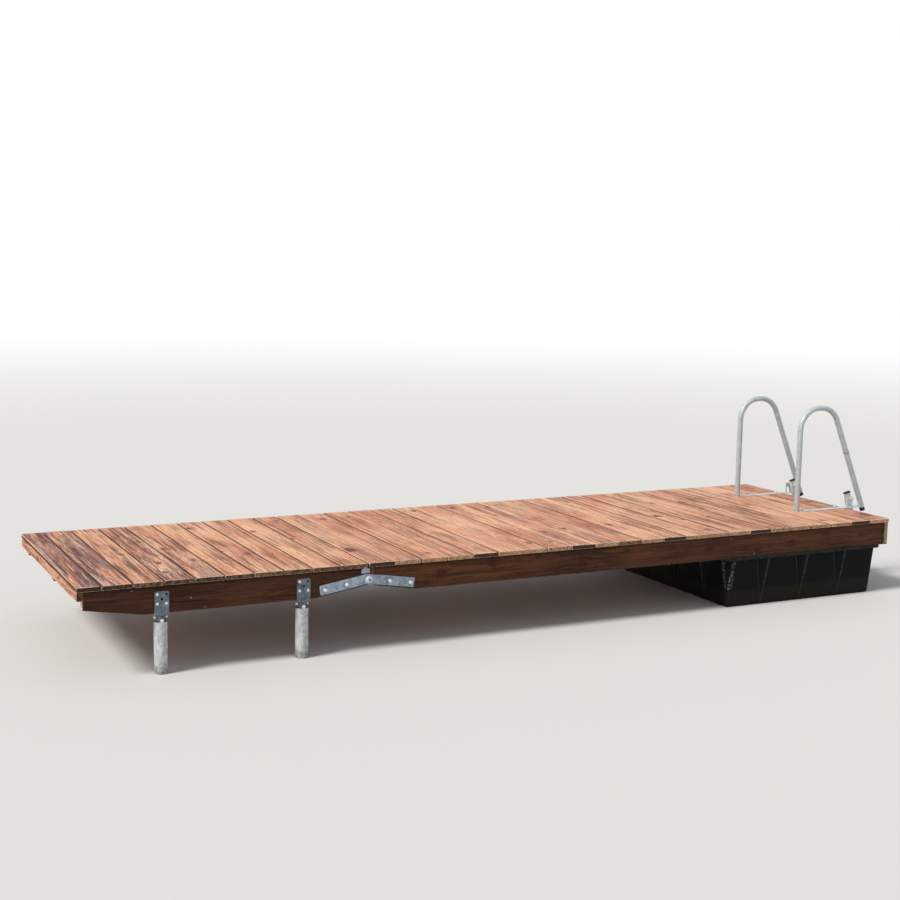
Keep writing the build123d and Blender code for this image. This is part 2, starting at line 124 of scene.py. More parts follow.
# %% A helper for node networks
class Wiring:
    """The node network of one material, around its Principled shader."""

    def __init__(self, name):
        self.material = bpy.data.materials.new(name)
        self.material.use_nodes = True
        self.tree = self.material.node_tree
        self.shader = self.tree.nodes["Principled BSDF"]

    def feed(self, socket, value):
        """Links a socket, or sets a plain number or colour."""
        if isinstance(value, bpy.types.NodeSocket):
            self.tree.links.new(value, socket)
        elif value is not None:
            socket.default_value = value

    def math(self, operation, first, second=None, clamp=False):
        """One arithmetic step."""
        node = self.tree.nodes.new("ShaderNodeMath")
        node.operation = operation
        node.use_clamp = clamp
        self.feed(node.inputs[0], first)
        self.feed(node.inputs[1], second)
        return node.outputs[0]

    def times(self, first, *others):
        """The product of two or more values."""
        for other in others:
            first = self.math("MULTIPLY", first, other)
        return first

    def plus(self, first, second, clamp=False):
        """The sum of two values, kept between 0 and 1 when clamped."""
        return self.math("ADD", first, second, clamp)

    def minus(self, first, second):
        """The first value less the second."""
        return self.math("SUBTRACT", first, second)

    def swing(self, noise, size):
        """Noise about 0.5 as a value that swings about 0: its distance from a half, times a size."""
        return self.times(self.minus(noise, 0.5), size)

    def distance(self, first, second):
        """The root of the sum of two squares."""
        return self.math("SQRT", self.plus(self.math("POWER", first, 2.0), self.math("POWER", second, 2.0)))

    def attribute(self, name):
        """The three numbers of a mesh attribute."""
        node = self.tree.nodes.new("ShaderNodeAttribute")
        node.attribute_name = name
        return self.split(node.outputs["Vector"])

    def split(self, vector):
        """A vector as three numbers."""
        node = self.tree.nodes.new("ShaderNodeSeparateXYZ")
        self.feed(node.inputs[0], vector)
        return node.outputs[0], node.outputs[1], node.outputs[2]

    def join(self, x, y, z):
        """Three numbers as a vector."""
        node = self.tree.nodes.new("ShaderNodeCombineXYZ")
        for socket, value in zip(node.inputs, (x, y, z)):
            self.feed(socket, value)
        return node.outputs[0]

    def place(self):
        """The point on the object, in metres."""
        return self.tree.nodes.new("ShaderNodeTexCoord").outputs["Object"]

    def noise(self, vector, scale, detail=3.0, roughness=0.55, seed=0.0, colour=False):
        """Soft noise about 0.5. A seed moves it to another part of the noise."""
        node = self.tree.nodes.new("ShaderNodeTexNoise")
        node.noise_dimensions = "4D"
        self.feed(node.inputs["Vector"], vector)
        self.feed(node.inputs["W"], seed)
        node.inputs["Scale"].default_value = scale
        node.inputs["Detail"].default_value = detail
        node.inputs["Roughness"].default_value = roughness
        return node.outputs["Color" if colour else "Fac"]

    def cells(self, vector, scale, output="Color"):
        """Cells around scattered points: a colour for each cell, or the distance to its point."""
        node = self.tree.nodes.new("ShaderNodeTexVoronoi")
        self.feed(node.inputs["Vector"], vector)
        node.inputs["Scale"].default_value = scale
        return node.outputs[output]

    def ramp(self, value, low, high, low_result=0.0, high_result=1.0):
        """A smooth step of a value, from one result to another."""
        node = self.tree.nodes.new("ShaderNodeMapRange")
        node.interpolation_type = "SMOOTHSTEP"
        self.feed(node.inputs["Value"], value)
        self.feed(node.inputs["From Min"], low)
        self.feed(node.inputs["From Max"], high)
        self.feed(node.inputs["To Min"], low_result)
        self.feed(node.inputs["To Max"], high_result)
        return node.outputs["Result"]

    def mix(self, share, first, second):
        """Two colours mixed by a share."""
        node = self.tree.nodes.new("ShaderNodeMix")
        node.data_type = "RGBA"
        self.feed(node.inputs[0], share)
        self.feed(node.inputs[6], first)
        self.feed(node.inputs[7], second)
        return node.outputs[2]

    def scaled(self, vector, x, y, z):
        """A vector stretched along each axis."""
        node = self.tree.nodes.new("ShaderNodeVectorMath")
        node.operation = "MULTIPLY"
        self.feed(node.inputs[0], vector)
        node.inputs[1].default_value = (x, y, z)
        return node.outputs[0]

    def bump(self, height, distance):
        """Tilts the surface as if a height of 1 stood out by the distance."""
        node = self.tree.nodes.new("ShaderNodeBump")
        node.inputs["Distance"].default_value = distance
        self.feed(node.inputs["Height"], height)
        return node.outputs["Normal"]

    def finish(self, colour, roughness, normal, metallic=0.0, specular=0.5):
        """Feeds the shader and hands over the material. The specular level and a plain metallic share are
        set on the shader itself."""
        self.feed(self.shader.inputs["Base Color"], colour)
        self.feed(self.shader.inputs["Roughness"], roughness)
        self.feed(self.shader.inputs["Normal"], normal)
        self.feed(self.shader.inputs["Metallic"], metallic)
        self.shader.inputs["Specular IOR Level"].default_value = specular
        return self.material


def tint(red, green, blue):
    """A colour given as it looks on a screen, from 0 to 255, as the linear colour a shader wants."""
    share = np.array([red, green, blue]) / 255.0
    linear = np.where(share <= 0.04045, share / 12.92, ((share + 0.055) / 1.055) ** 2.4)
    return (*(float(value) for value in linear), 1.0)


print("mid grey as linear light:", round(tint(128, 128, 128)[0], 3))

# %% [markdown]
# ## Wood as a log
#
# A board shows growth rings because it was cut out of a log. The convincing way to draw it is to keep
# the log: each board carries coordinates measured from the middle of its own log, and a ring is where
# the distance to that middle passes a whole number of ring widths. A flat cut then gives the tall
# arches of the deck by itself, and the same formula gives curved lines on the sawn ends.
#
# A knot is where a branch crosses the board. The rings flow round it, which is done by drawing the
# coordinate across the board towards the knot before the distance is taken.

# %% Knots and growth rings
knot_stretch = 0.62
knot_reach = 2.7
knot_squeeze = 0.86
smallest_radius = 0.0001
log_sway_across = 0.075
log_sway_inside = 0.034
log_wobble = 0.014
ring_unevenness = 2.6


def knot_field(w, across, along, seed):
    """The distance to a stretch's knot, counted in knot radii, and the place across the board after the
    knot has drawn it in. The pull is e to the power of minus (radii away over the reach) squared."""
    knot_across, knot_along, knot_radius = w.attribute("knot")
    off_across = w.minus(across, knot_across)
    off_along = w.times(w.minus(along, knot_along), knot_stretch)
    knot_shape = w.noise(w.join(across, along, 0.0), 75.0, detail=1.0, seed=seed)
    radius = w.math("MAXIMUM", knot_radius, smallest_radius)
    radii_away = w.math("DIVIDE", w.distance(off_across, off_along), radius)
    radii_away = w.times(radii_away, w.ramp(knot_shape, 0.3, 0.7, 0.72, 1.3))
    pull = w.math("EXPONENT", w.times(w.math("POWER", w.math("DIVIDE", radii_away, knot_reach), 2.0), -1.0))
    return radii_away, w.minus(across, w.times(off_across, pull, knot_squeeze))


def late_wood(w, across, along, inside, seed, ring_width):
    """1 in the dark late part of each ring. The log's middle sways slowly along the board, and the
    distance to it wobbles. Divided by the ring width, it gives the rings: the whole number is the year, and
    what is left over is the place inside one ring."""
    sway = w.split(w.noise(w.join(0.0, along, 0.0), 1.15, detail=1.0, seed=seed, colour=True))
    log_across = w.plus(across, w.swing(sway[0], log_sway_across))
    log_inside = w.plus(inside, w.swing(sway[1], log_sway_inside))
    wobble = w.noise(w.join(w.times(across, 4.0), along, w.times(inside, 4.0)), 3.1, detail=2.0,
                     seed=w.plus(seed, 7.0))
    from_middle = w.plus(w.distance(log_across, log_inside), w.swing(wobble, log_wobble))
    rings = w.math("DIVIDE", from_middle, ring_width)
    uneven = w.noise(w.join(rings, seed, 0.0), 0.31, detail=1.0)
    rings = w.plus(rings, w.times(uneven, ring_unevenness))
    year = w.noise(w.join(w.math("FLOOR", rings), seed, 0.0), 1.7, detail=0.0)
    in_ring = w.math("FRACT", rings)
    late = w.times(w.ramp(in_ring, 0.34, 0.84), w.ramp(in_ring, 1.0, 0.94))
    return w.times(late, w.ramp(year, 0.38, 0.60, 0.25, 1.0))


print("a knot draws in the rings for", knot_reach, "of its radii")

# %% [markdown]
# ## Noise along a board
#
# Stain soaks in unevenly, and mostly along the fibres. So its marks are noise drawn out along the
# board: fine hairs, streaks, flecks, broad bands and drying cracks, and pale glints that are a painted
# highlight. They bend round the knots with the rings. Patches, blots and clouds lie in the stain and not
# in the wood, so they keep straight. A table says for each noise how far it is drawn out, its scale, a
# number that moves it to its own part of the noise, its detail, and whether it bends round the knots.

# %% A table of noises
noise_table = {"hair": (0.03, 420.0, 0.0, 2.0, True), "streak": (0.03, 84.0, 3.0, 2.0, True),
               "glint": (0.03, 96.0, 61.0, 2.0, True), "fleck": (0.16, 150.0, 71.0, 2.0, True),
               "band": (0.05, 27.0, 17.0, 2.0, True), "check": (0.03, 31.0, 77.0, 1.0, True),
               "patch": (0.34, 8.0, 31.0, 3.0, False), "blot": (0.12, 19.0, 41.0, 3.0, False),
               "cloud": (0.5, 3.4, 53.0, 2.0, False)}


def board_noises(w, across, bent_across, along, inside, seed):
    """Each noise of the table by name. A feature is longer along the board by one over its stretch."""
    noises = {}
    for name, (stretch, scale, shift, detail, bends) in noise_table.items():
        place = w.join(bent_across if bends else across, w.times(along, stretch), inside)
        noises[name] = w.noise(place, scale, detail=detail, seed=w.plus(seed, shift))
    return noises


print("noises on a board:", ", ".join(noise_table))

# %% [markdown]
# ## Stain on the faces
#
# The stain is built in layers, from the broadest to the finest: a warm ground, pools of violet, red
# bands and rings, dark streaks, then flecks and hairs. Straight grain also shows as parallel lines some
# 13 mm apart. They are the comb, a cosine across the board that wanders a little. Patches of noise say
# where all of this is strong, which leaves calm places between. By the bank the stain is heaviest along
# the near edge of the deck, so each board says how much of that it has.

# %% Layers of stain
comb_pitch = 0.0134
comb_wander = 0.024
near_band = (0.50, 0.06)
near_ragged = 0.7


def stained(w, noises, late, bent_across, from_near, tones, comb_share):
    """The colour of a stained face. Each layer is a smooth step of one noise, times how strong the marks
    are at that place, and mixes one more tone over what is there."""
    tone, purple = w.attribute("look")[1:]
    contrast, near_stain = w.attribute("stain")[:2]
    patch, band, fleck, hair = (noises[name] for name in ("patch", "band", "fleck", "hair"))
    near = w.times(w.ramp(w.plus(from_near, w.swing(patch, near_ragged)), *near_band), near_stain)
    strong = w.times(w.ramp(patch, 0.38, 0.62, 0.34, 1.0), contrast)
    strong = w.plus(strong, w.times(near, 0.4), clamp=True)
    colour = w.mix(w.ramp(noises["cloud"], 0.38, 0.62), tones["pale"], tones["warm"])
    pool = w.plus(purple, w.times(near, 0.6), clamp=True)
    pool = w.times(w.ramp(w.plus(noises["blot"], w.times(pool, 0.16)), 0.56, 0.70), pool)
    colour = w.mix(w.times(pool, 0.9), colour, tones["violet"])
    # pale glints along the grain: painted highlight in the pale edge tone
    glint = w.times(w.ramp(noises["glint"], 0.50, 0.57), w.plus(strong, 0.12))
    colour = w.mix(w.times(glint, 0.8), colour, tones["worn_edge_and_highlight"])
    banded = w.times(w.ramp(band, 0.50, 0.64), w.plus(strong, 0.15))
    colour = w.mix(w.times(banded, 0.6), colour, tones["red"])
    colour = w.mix(w.times(late, strong, 0.9), colour, tones["red"])
    comb_place = w.plus(bent_across, w.times(band, comb_wander))
    comb = w.math("COSINE", w.times(comb_place, 2 * math.pi / comb_pitch))
    combed = w.times(w.ramp(comb, 0.15, 0.85), w.ramp(fleck, 0.40, 0.56, 0.35, 1.0))
    combed = w.times(combed, strong, w.ramp(patch, 0.42, 0.56, 0.25, 1.0))
    colour = w.mix(w.times(combed, comb_share), colour, tones["deep"])
    colour = w.mix(w.times(w.ramp(noises["streak"], 0.51, 0.55), strong, 0.95), colour, tones["deep"])
    colour = w.mix(w.ramp(fleck, 0.46, 0.36, 0.0, 0.34), colour, tones["deep"])
    colour = w.mix(w.ramp(fleck, 0.56, 0.68, 0.0, 0.24), colour, tones["worn_edge_and_highlight"])
    colour = w.mix(w.ramp(hair, 0.36, 0.60, 0.18, 0.0), colour, tones["deep"])
    colour = w.mix(w.ramp(hair, 0.56, 0.72, 0.0, 0.18), colour, tones["pale"])
    return w.mix(w.times(tone, 0.62), colour, tones["deep"])


print("millimetres between comb lines:", round(comb_pitch * 1000, 1))

# %% [markdown]
# ## Knots and sawn ends
#
# A knot is a small log of its own: a few rings, a dark rim of bark and a redder halo where the wood is
# dense. A sawn end shows the rings of the board as curved lines on bare wood, with the dark specks of
# cut fibres. Some ends took stain, and it soaks in by patches.

# %% Draw the knots and the ends
rings_per_knot = 2.7
end_line_tint = tint(150, 106, 72)
end_speck_tint = tint(98, 68, 46)
end_mottle = 1.6


def with_knots(w, colour, radii_away, tones):
    """The colour with its knots, and how much of a knot's rim is at a point: a step up before one knot
    radius times a step down after it."""
    knot_ring = w.math("FRACT", w.times(radii_away, rings_per_knot))
    heart = w.mix(w.ramp(knot_ring, 0.2, 0.9), tones["knot"], tones["bark"])
    rim = w.times(w.ramp(radii_away, 1.34, 1.02), w.ramp(radii_away, 0.70, 0.96))
    colour = w.mix(w.times(w.ramp(radii_away, 3.4, 1.0), 0.5), colour, tones["red"])
    colour = w.mix(w.ramp(radii_away, 1.25, 0.85), colour, heart)
    return w.mix(w.times(rim, 0.5), colour, tones["bark"]), rim


def sawn_end(w, across, inside, seed, late, end_stain, tones):
    """The colour of a sawn end: ring lines and specks on bare wood, and stain over them where the end's
    own share plus a mottle comes near 1."""
    speck = w.noise(w.join(across, 0.0, inside), 150.0, detail=3.0, seed=seed)
    bare = w.mix(w.times(late, 0.6), tones["raw_end"], end_line_tint)
    bare = w.mix(w.ramp(speck, 0.48, 0.62, 0.0, 0.85), bare, end_speck_tint)
    mottle = w.noise(w.place(), 52.0, detail=3.0)
    soaked = w.plus(end_stain, w.swing(mottle, end_mottle), clamp=True)
    return w.mix(soaked, bare, tones["dark_end"])


print("rings in a knot:", rings_per_knot)

# %% [markdown]
# ## The two woods
#
# The deck and the frame are the same softwood under different stain: red-brown and bright on the deck,
# dark on the bearers. The rest is shared: drying cracks, pale edges that are worn and carry a painted
# highlight, dark edges that are painted shade in the gaps, and a pale rim, worn and with a painted
# highlight, where a board's top meets its sawn near end. Only the bearers get a painted shadow just
# under the boards, and carry a few pale splashes.

# %% Stained wood
rim_band = (0.008, 0.003)
under_board_shade_band = (0.414, 0.434)
splash_scale = 17.0
splash_tint = tint(196, 170, 150)
grain_relief = 0.0006


def wood(name, tones, ring_width, specular, splashes=0.0, near_rim=0.7, under_board_shade_share=0.0, comb_share=0.85):
    """Stained softwood. A drying crack is where a drawn-out noise passes a half. The painted shadow just
    under the boards is a step of the height, and a splash is a point of scattered cells, kept in some of
    them. The relief is the late wood and the hairs, less the cracks and the rims of knots."""
    w = Wiring(name)
    across, along, inside = w.attribute("grain")
    seed = w.attribute("look")[0]
    is_end, end_stain, edge = w.attribute("cut")
    radii_away, bent_across = knot_field(w, across, along, seed)
    late = late_wood(w, bent_across, along, inside, seed, ring_width)
    noises = board_noises(w, across, bent_across, along, inside, seed)
    from_near = w.minus(along, seed)
    colour = stained(w, noises, late, bent_across, from_near, tones, comb_share)
    colour, rim = with_knots(w, colour, radii_away, tones)
    check = w.ramp(w.math("ABSOLUTE", w.minus(noises["check"], 0.5)), 0.0060, 0.0015)
    check = w.times(check, w.ramp(noises["cloud"], 0.52, 0.64))
    colour = w.mix(w.times(check, 0.8), colour, tones["bark"])
    # pale edges: wear with a painted highlight; dark edges: painted shade in the gaps between boards
    colour = w.mix(w.math("MAXIMUM", edge, 0.0), colour, tones["worn_edge_and_highlight"])
    colour = w.mix(w.math("MAXIMUM", w.times(edge, -1.0), 0.0), colour, tones["gap_shade_edge"])
    # pale rim at the top of a sawn near end: wear with a painted highlight
    end_rim = w.times(w.ramp(from_near, *rim_band), w.ramp(noises["fleck"], 0.40, 0.54))
    colour = w.mix(w.times(end_rim, near_rim), colour, tones["worn_edge_and_highlight"])
    place = w.place()
    # painted shadow on the bearers just under the boards, darker towards the top
    painted_shade_under_boards = w.ramp(w.split(place)[2], *under_board_shade_band)
    colour = w.mix(w.times(painted_shade_under_boards, under_board_shade_share), colour, tones["bark"])
    colour = w.mix(is_end, colour, sawn_end(w, across, inside, seed, late, end_stain, tones))
    if splashes:
        dots = w.ramp(w.cells(place, splash_scale, output="Distance"), 0.062, 0.045)
        chosen = w.ramp(w.split(w.cells(place, splash_scale))[0], 0.60, 0.62)
        colour = w.mix(w.times(dots, chosen, splashes), colour, splash_tint)
    relief = w.plus(w.times(late, 0.45), w.times(noises["hair"], 0.55))
    relief = w.minus(w.minus(relief, w.times(check, 2.0)), w.times(rim, 0.8))
    roughness = w.ramp(noises["patch"], 0.3, 0.7, 0.55, 0.70)
    return w.finish(colour, roughness, w.bump(relief, grain_relief), specular=specular)


deck_tones = {"pale": tint(248, 188, 148), "warm": tint(228, 152, 116), "red": tint(156, 80, 60),
              "deep": tint(84, 38, 30), "violet": tint(98, 68, 86), "knot": tint(112, 62, 50),
              "bark": tint(60, 32, 34), "raw_end": tint(214, 168, 130), "dark_end": tint(54, 35, 24),
              "worn_edge_and_highlight": tint(255, 224, 192), "gap_shade_edge": tint(62, 31, 25)}
frame_tones = {"pale": tint(104, 61, 38), "warm": tint(79, 46, 29), "red": tint(52, 29, 19),
               "deep": tint(30, 17, 11), "violet": tint(45, 30, 24), "knot": tint(86, 46, 26),
               "bark": tint(15, 8, 7), "raw_end": tint(252, 226, 188), "dark_end": tint(45, 27, 19),
               "worn_edge_and_highlight": tint(114, 72, 47), "gap_shade_edge": tint(25, 15, 11)}
deck_wood = wood("deck_wood", deck_tones, ring_width=0.0080, specular=0.28)
frame_wood = wood("frame_wood", frame_tones, ring_width=0.0070, specular=0.15, splashes=0.9, near_rim=0.3,
                  under_board_shade_share=0.75, comb_share=0.2)
print("wood finishes:", deck_wood.name, frame_wood.name)

# %% [markdown]
# ## Sawn timber as a carried profile
#
# A board or a beam is one profile, a rectangle with eased corners, carried along a straight line. The
# height of the underside may change on the way, which gives the raised toe at the bank and the bevel at
# the hinge. The whole surface is one array of points: stations along the line by points round the
# profile. Nothing is drawn point by point.
#
# Each surface also carries what the wood finish needs: the coordinates in its log, a seed, and for every
# stretch of about thirty centimetres one knot, or none. Those come in the next cell.

# %% A carried profile
corner_steps = 3
end_easing = 0.0012


def closed_rows(rows, count):
    """Quads between neighbouring rings of a closed surface, and its first and last ring as caps."""
    here = np.arange(rows - 1)[:, None] * count + np.arange(count)
    beside = np.arange(rows - 1)[:, None] * count + (np.arange(count) + 1) % count
    quads = np.stack([here, beside, beside + count, here + count], axis=-1).reshape(-1, 4)
    return quads, [np.arange(count)[::-1], np.arange(count) + (rows - 1) * count]


def eased_rectangle(low, high, half_width, radius):
    """Points (across, up) round a rectangle, one row for each station. Each corner is a quarter circle:
    its centre plus radius times (cos a, sin a), with a going once round from the first corner."""
    signs = np.array([[1, 1], [-1, 1], [-1, -1], [1, -1]])
    turns = np.linspace(0.0, np.pi / 2, corner_steps + 1)[None, :] + np.arange(4)[:, None] * np.pi / 2
    across = (signs[:, :1] * (half_width[:, None, None] - radius[:, None, None])
              + radius[:, None, None] * np.cos(turns))
    middle = (low + high)[:, None, None] / 2
    half_height = (high - low)[:, None, None] / 2
    up = middle + signs[:, 1:] * (half_height - radius[:, None, None]) + radius[:, None, None] * np.sin(turns)
    return np.stack([across, up], axis=-1).reshape(len(low), -1, 2)


def carried(stations, low, high, width, easing):
    """Points (along, across, up) of a beam, its quads, its two end caps and the place along it of every
    face. The first and last profile are drawn in by the end easing, so the sawn ends have a small bevel."""
    stations = np.concatenate([stations[:1], stations[:1] + end_easing, stations[1:-1],
                               stations[-1:] - end_easing, stations[-1:]])
    inset = np.zeros(len(stations))
    inset[[0, -1]] = end_easing
    bottom = np.interp(stations, *low) + inset
    top = np.full(len(stations), high) - inset
    ring = eased_rectangle(bottom, top, width / 2 - inset, np.full(len(stations), easing) - inset * 0.5)
    count = ring.shape[1]
    along = np.broadcast_to(stations[:, None, None], (len(stations), count, 1))
    points = np.concatenate([along, ring], axis=-1)
    quads, caps = closed_rows(len(stations), count)
    face_along = np.concatenate([np.repeat((stations[1:] + stations[:-1]) / 2, count), stations[[0, -1]]])
    return points.reshape(-1, 3), quads, caps, face_along


points_round = 4 * (corner_steps + 1)
print("points round a profile:", points_round)

# %% [markdown]
# ## Knots and saw cuts
#
# Branches leave a trunk at many heights, so a long piece has several knots. It is divided into
# stretches, and each of them has one knot or none. A knot keeps away from the ends of its stretch,
# because the next stretch knows nothing of it and would cut it off. Every face also says whether it is a
# sawn end, how dark that end was stained, and how a long edge is worn pale with a painted highlight or
# darkened by painted shade in the gaps.

# %% Knots and cuts of a piece
knot_pitch = 0.28
knot_spread = 0.42
knot_places = (0.35, 0.65)
knot_sizes = (0.35, 1.0)
no_knot = (0.0, -100.0, 0.0)


def knots_for(length, face_width, chance, largest):
    """One knot or none for each stretch of a piece: its place across and along, and its radius."""
    count = max(1, round(length / knot_pitch))
    stretch = length / count
    across = random.uniform(-knot_spread, knot_spread, count) * face_width
    along = (np.arange(count) + random.uniform(*knot_places, count)) * stretch
    radius = random.uniform(*knot_sizes, count) * largest
    knots = np.stack([across, along, radius], axis=-1)
    knots[random.uniform(size=count) > chance] = no_knot
    return knots, stretch


def cut_values(faces, edges, end_stain):
    """Three numbers for each face: 1 on a sawn end, how dark that end is stained, and how an edge is worn
    pale with a painted highlight, or darkened by painted shade in the gaps.
    The faces go round the beam ring by ring, and its two ends come last."""
    face_edges = np.zeros(points_round)
    face_edges[:corner_steps] = edges[0]
    face_edges[corner_steps + 1:2 * corner_steps + 1] = edges[1]
    face_edges[[2 * corner_steps + 1, points_round - 1]] = edges[2]
    cut = np.zeros((faces + 2, 3))
    cut[faces:, 0] = 1.0
    cut[faces:, 1] = end_stain
    cut[:faces, 2] = np.tile(face_edges, faces // points_round)
    return cut


print("a knot or none for every", knot_pitch, "m of a piece")

# %% [markdown]
# ## One piece of timber
#
# The next cell makes a beam and its wood coordinates. The log's middle lies some centimetres away from a
# flat-sawn board, below its face and a little to one side, so its rings arch. Which way the wide face
# looks matters: a deck board shows its face upwards, and a bearer shows its side.

# %% Timber with a log inside
seed_reach = 90.0
log_aside = 0.7


def timber(start, end, low, high, width, easing, across_place, turned=False, face_up=True,
           log_depth=(0.03, 0.08), tone=0.2, purple=0.0, contrast=0.6, near_stain=0.0,
           edges=(0.0, 0.0, 0.0), end_stain=(0.5, 0.5), knot_chance=0.4, largest_knot=0.010, known_knots=()):
    """A beam from start to end. Its along axis is x, or y when turned. Returns a dictionary of arrays
    with its points, faces and wood values, ready to be gathered into one mesh. The three edge values
    belong to the first top edge, the second one and both sides: above 0 is worn pale with a painted
    highlight, below 0 is painted shade of the gaps between boards."""
    start = round(start, 5)
    end = round(end, 5)
    if not isinstance(low, tuple):
        low = ([start, end], [low, low])
    face_width = width if face_up else high - min(low[1])
    knots, stretch = knots_for(end - start, face_width, knot_chance, largest_knot)
    for known in known_knots:
        knots[int(known[1] / stretch)] = known
    borders = start + np.arange(len(knots) + 1) * stretch
    stations = np.unique(np.concatenate([borders[1:-1], [start, end], np.asarray(low[0])]).round(5))
    points, quads, caps, face_along = carried(stations, low, high, width, easing)
    along, across, up = points.T
    seed = random.uniform(0.0, seed_reach)
    to_middle = random.uniform(*log_depth)
    aside = random.uniform(-log_aside, log_aside) * (width if face_up else high - low[1][0])
    if face_up:
        grain = np.stack([across - aside, along - start + seed, up - high + to_middle], axis=-1)
    else:
        level = up - (high + min(low[1])) / 2
        grain = np.stack([level - aside, along - start + seed, across + to_middle], axis=-1)
    which = np.clip(((face_along - start) / stretch).astype(int), 0, len(knots) - 1)
    in_log = np.array([-aside, seed, 0.0])
    knot = knots[which] + np.where(knots[which][:, 2:] > 0, in_log, 0.0)
    place = np.stack([along, across + across_place, up], axis=-1)
    if turned:
        place = np.stack([across_place - across, along, up], axis=-1)
    return {"points": place, "quads": quads, "caps": caps, "grain": grain, "knot": knot,
            "look": np.tile([seed, tone, purple], (len(knot), 1)),
            "stain": np.tile([contrast, near_stain, 0.0], (len(knot), 1)),
            "cut": cut_values(len(quads), edges, end_stain)}


print("a log's middle lies aside by up to", log_aside, "of the face's width")

# %% [markdown]
# ## From arrays to a mesh
#
# Many boards make one piece of the model, so their arrays are joined before the mesh is made. A value
# that belongs to a whole face, such as its knot, is stored for each corner of the face. One stored for
# points would be blended between neighbours, and the knot would smear.

# %% Join parts into pieces
timber_sharp = math.radians(40.0)


def linked(mesh, material, sharp_angle):
    """Gives a mesh its finish and smooth shading, with edges that turn by more than an angle kept sharp,
    and puts it in the scene."""
    mesh.validate()
    mesh.update()
    mesh.materials.append(material)
    mesh.polygons.foreach_set("use_smooth", np.ones(len(mesh.polygons), bool))
    mesh.set_sharp_from_angle(angle=sharp_angle)
    piece = bpy.data.objects.new(mesh.name, mesh)
    bpy.context.scene.collection.objects.link(piece)
    return piece


def gather(name, parts, material):
    """Joins parts into one mesh object. Point numbers are moved up by the points before them, and the
    face values are repeated for each corner of a face."""
    starts = np.cumsum([0] + [len(part["points"]) for part in parts])
    faces = []
    sides = []
    for part, start in zip(parts, starts):
        faces += (part["quads"] + start).tolist() + [(cap + start).tolist() for cap in part["caps"]]
        sides += [4] * len(part["quads"]) + [len(cap) for cap in part["caps"]]
    mesh = bpy.data.meshes.new(name)
    mesh.from_pydata(np.concatenate([part["points"] for part in parts]).tolist(), [], faces)
    grain = np.concatenate([part["grain"] for part in parts]).astype(np.float32)
    mesh.attributes.new("grain", "FLOAT_VECTOR", "POINT").data.foreach_set("vector", grain.ravel())
    for value in ("look", "stain", "knot", "cut"):
        rows = np.repeat(np.concatenate([part[value] for part in parts]), sides, axis=0).astype(np.float32)
        mesh.attributes.new(value, "FLOAT_VECTOR", "CORNER").data.foreach_set("vector", rows.ravel())
    return linked(mesh, material, timber_sharp)


def litres(mesh):
    """The volume inside a closed mesh: the sum over its triangles of corner a dot (b cross c), over 6.
    It comes out below 0 when the faces point inwards."""
    mesh.calc_loop_triangles()
    corners = np.empty(len(mesh.loop_triangles) * 3, np.int32)
    mesh.loop_triangles.foreach_get("vertices", corners)
    places = np.empty(len(mesh.vertices) * 3, np.float32)
    mesh.vertices.foreach_get("co", places)
    a, b, c = places.reshape(-1, 3)[corners.reshape(-1, 3)].transpose(1, 0, 2).astype(float)
    return np.einsum("ij,ij->i", a, np.cross(b, c)).sum() / 6 * 1000


def own(piece, body, slot, *replaced):
    """Lets a piece ride on a body and hides the model's parts that it replaces.
    The slot is not used.
    """
    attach(piece, body)
    if replaced:
        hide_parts(*replaced)
    print(f"{piece.name}: {len(piece.data.polygons)} faces, {litres(piece.data):.3f} litres, on {body}")
    return piece


print("edges of timber stay sharp above", round(math.degrees(timber_sharp)), "degrees")

# %% [markdown]
# ## The look of each board
#
# Thirty-three boards, no two alike. The boards by the bank took more of the purple-brown stain, and those
# over the water are lighter. A row of looks is a board's tone, its purple, its contrast and its stain
# along the near edge, and the boards past the end of a list draw theirs at random. Some boards have
# dark sawn near ends, and these are listed by the board's number with how dark they are. The ends of
# the others are darkened by their section's plain share, give or take a little.

# %% The looks of the boards
dark_ended = {"shore": {0: 1.25, 1: 1.0, 2: 0.75},
              "float": {0: 1.1, 4: 1.0, 8: 1.1, 10: 0.7, 12: 1.15, 16: 1.15, 21: 1.15}}
plain_end = {"shore": 0.80, "float": 0.16}
plain_end_spread = 0.1
far_end = 0.4
board_looks = {
    "shore": [(0.12, 1.0, 1.0, 0.9), (0.08, 1.0, 1.0, 0.9), (0.0, 0.25, 0.85, 0.5), (0.10, 0.50, 1.0, 0.8),
              (0.0, 0.30, 0.85, 0.6), (0.0, 0.15, 0.65, 0.25), (0.0, 0.25, 0.65, 0.2), (0.0, 0.10, 0.60, 0.3),
              (0.02, 0.10, 0.50, 0.1), (0.05, 0.20, 0.55, 0.2)],
    "float": [(0.16, 0.45, 0.50, 0.5), (0.20, 0.35, 0.55, 0.3), (0.05, 0.10, 0.50, 0.1),
              (0.10, 0.25, 0.55, 0.4), (0.0, 0.05, 0.60, 0.1), (0.02, 0.05, 0.50, 0.1),
              (0.10, 0.20, 0.55, 0.2), (0.02, 0.25, 0.45, 0.4), (0.14, 0.45, 0.60, 0.3),
              (0.16, 0.50, 0.60, 0.2)]}
other_looks = ((0.0, 0.0, 0.50, 0.0), (0.16, 0.4, 0.85, 0.3))
# a first top edge is pale, worn with a painted highlight, by a chance and a share for each section; the negative
# values paint shade into the gaps between boards
edge_chances = {"shore": (0.25, 0.4), "float": (0.55, 0.5)}
gap_shade_edges = (-0.8, -0.5, -0.85)
print("boards with a stained end:", {section: len(ends) for section, ends in dark_ended.items()})

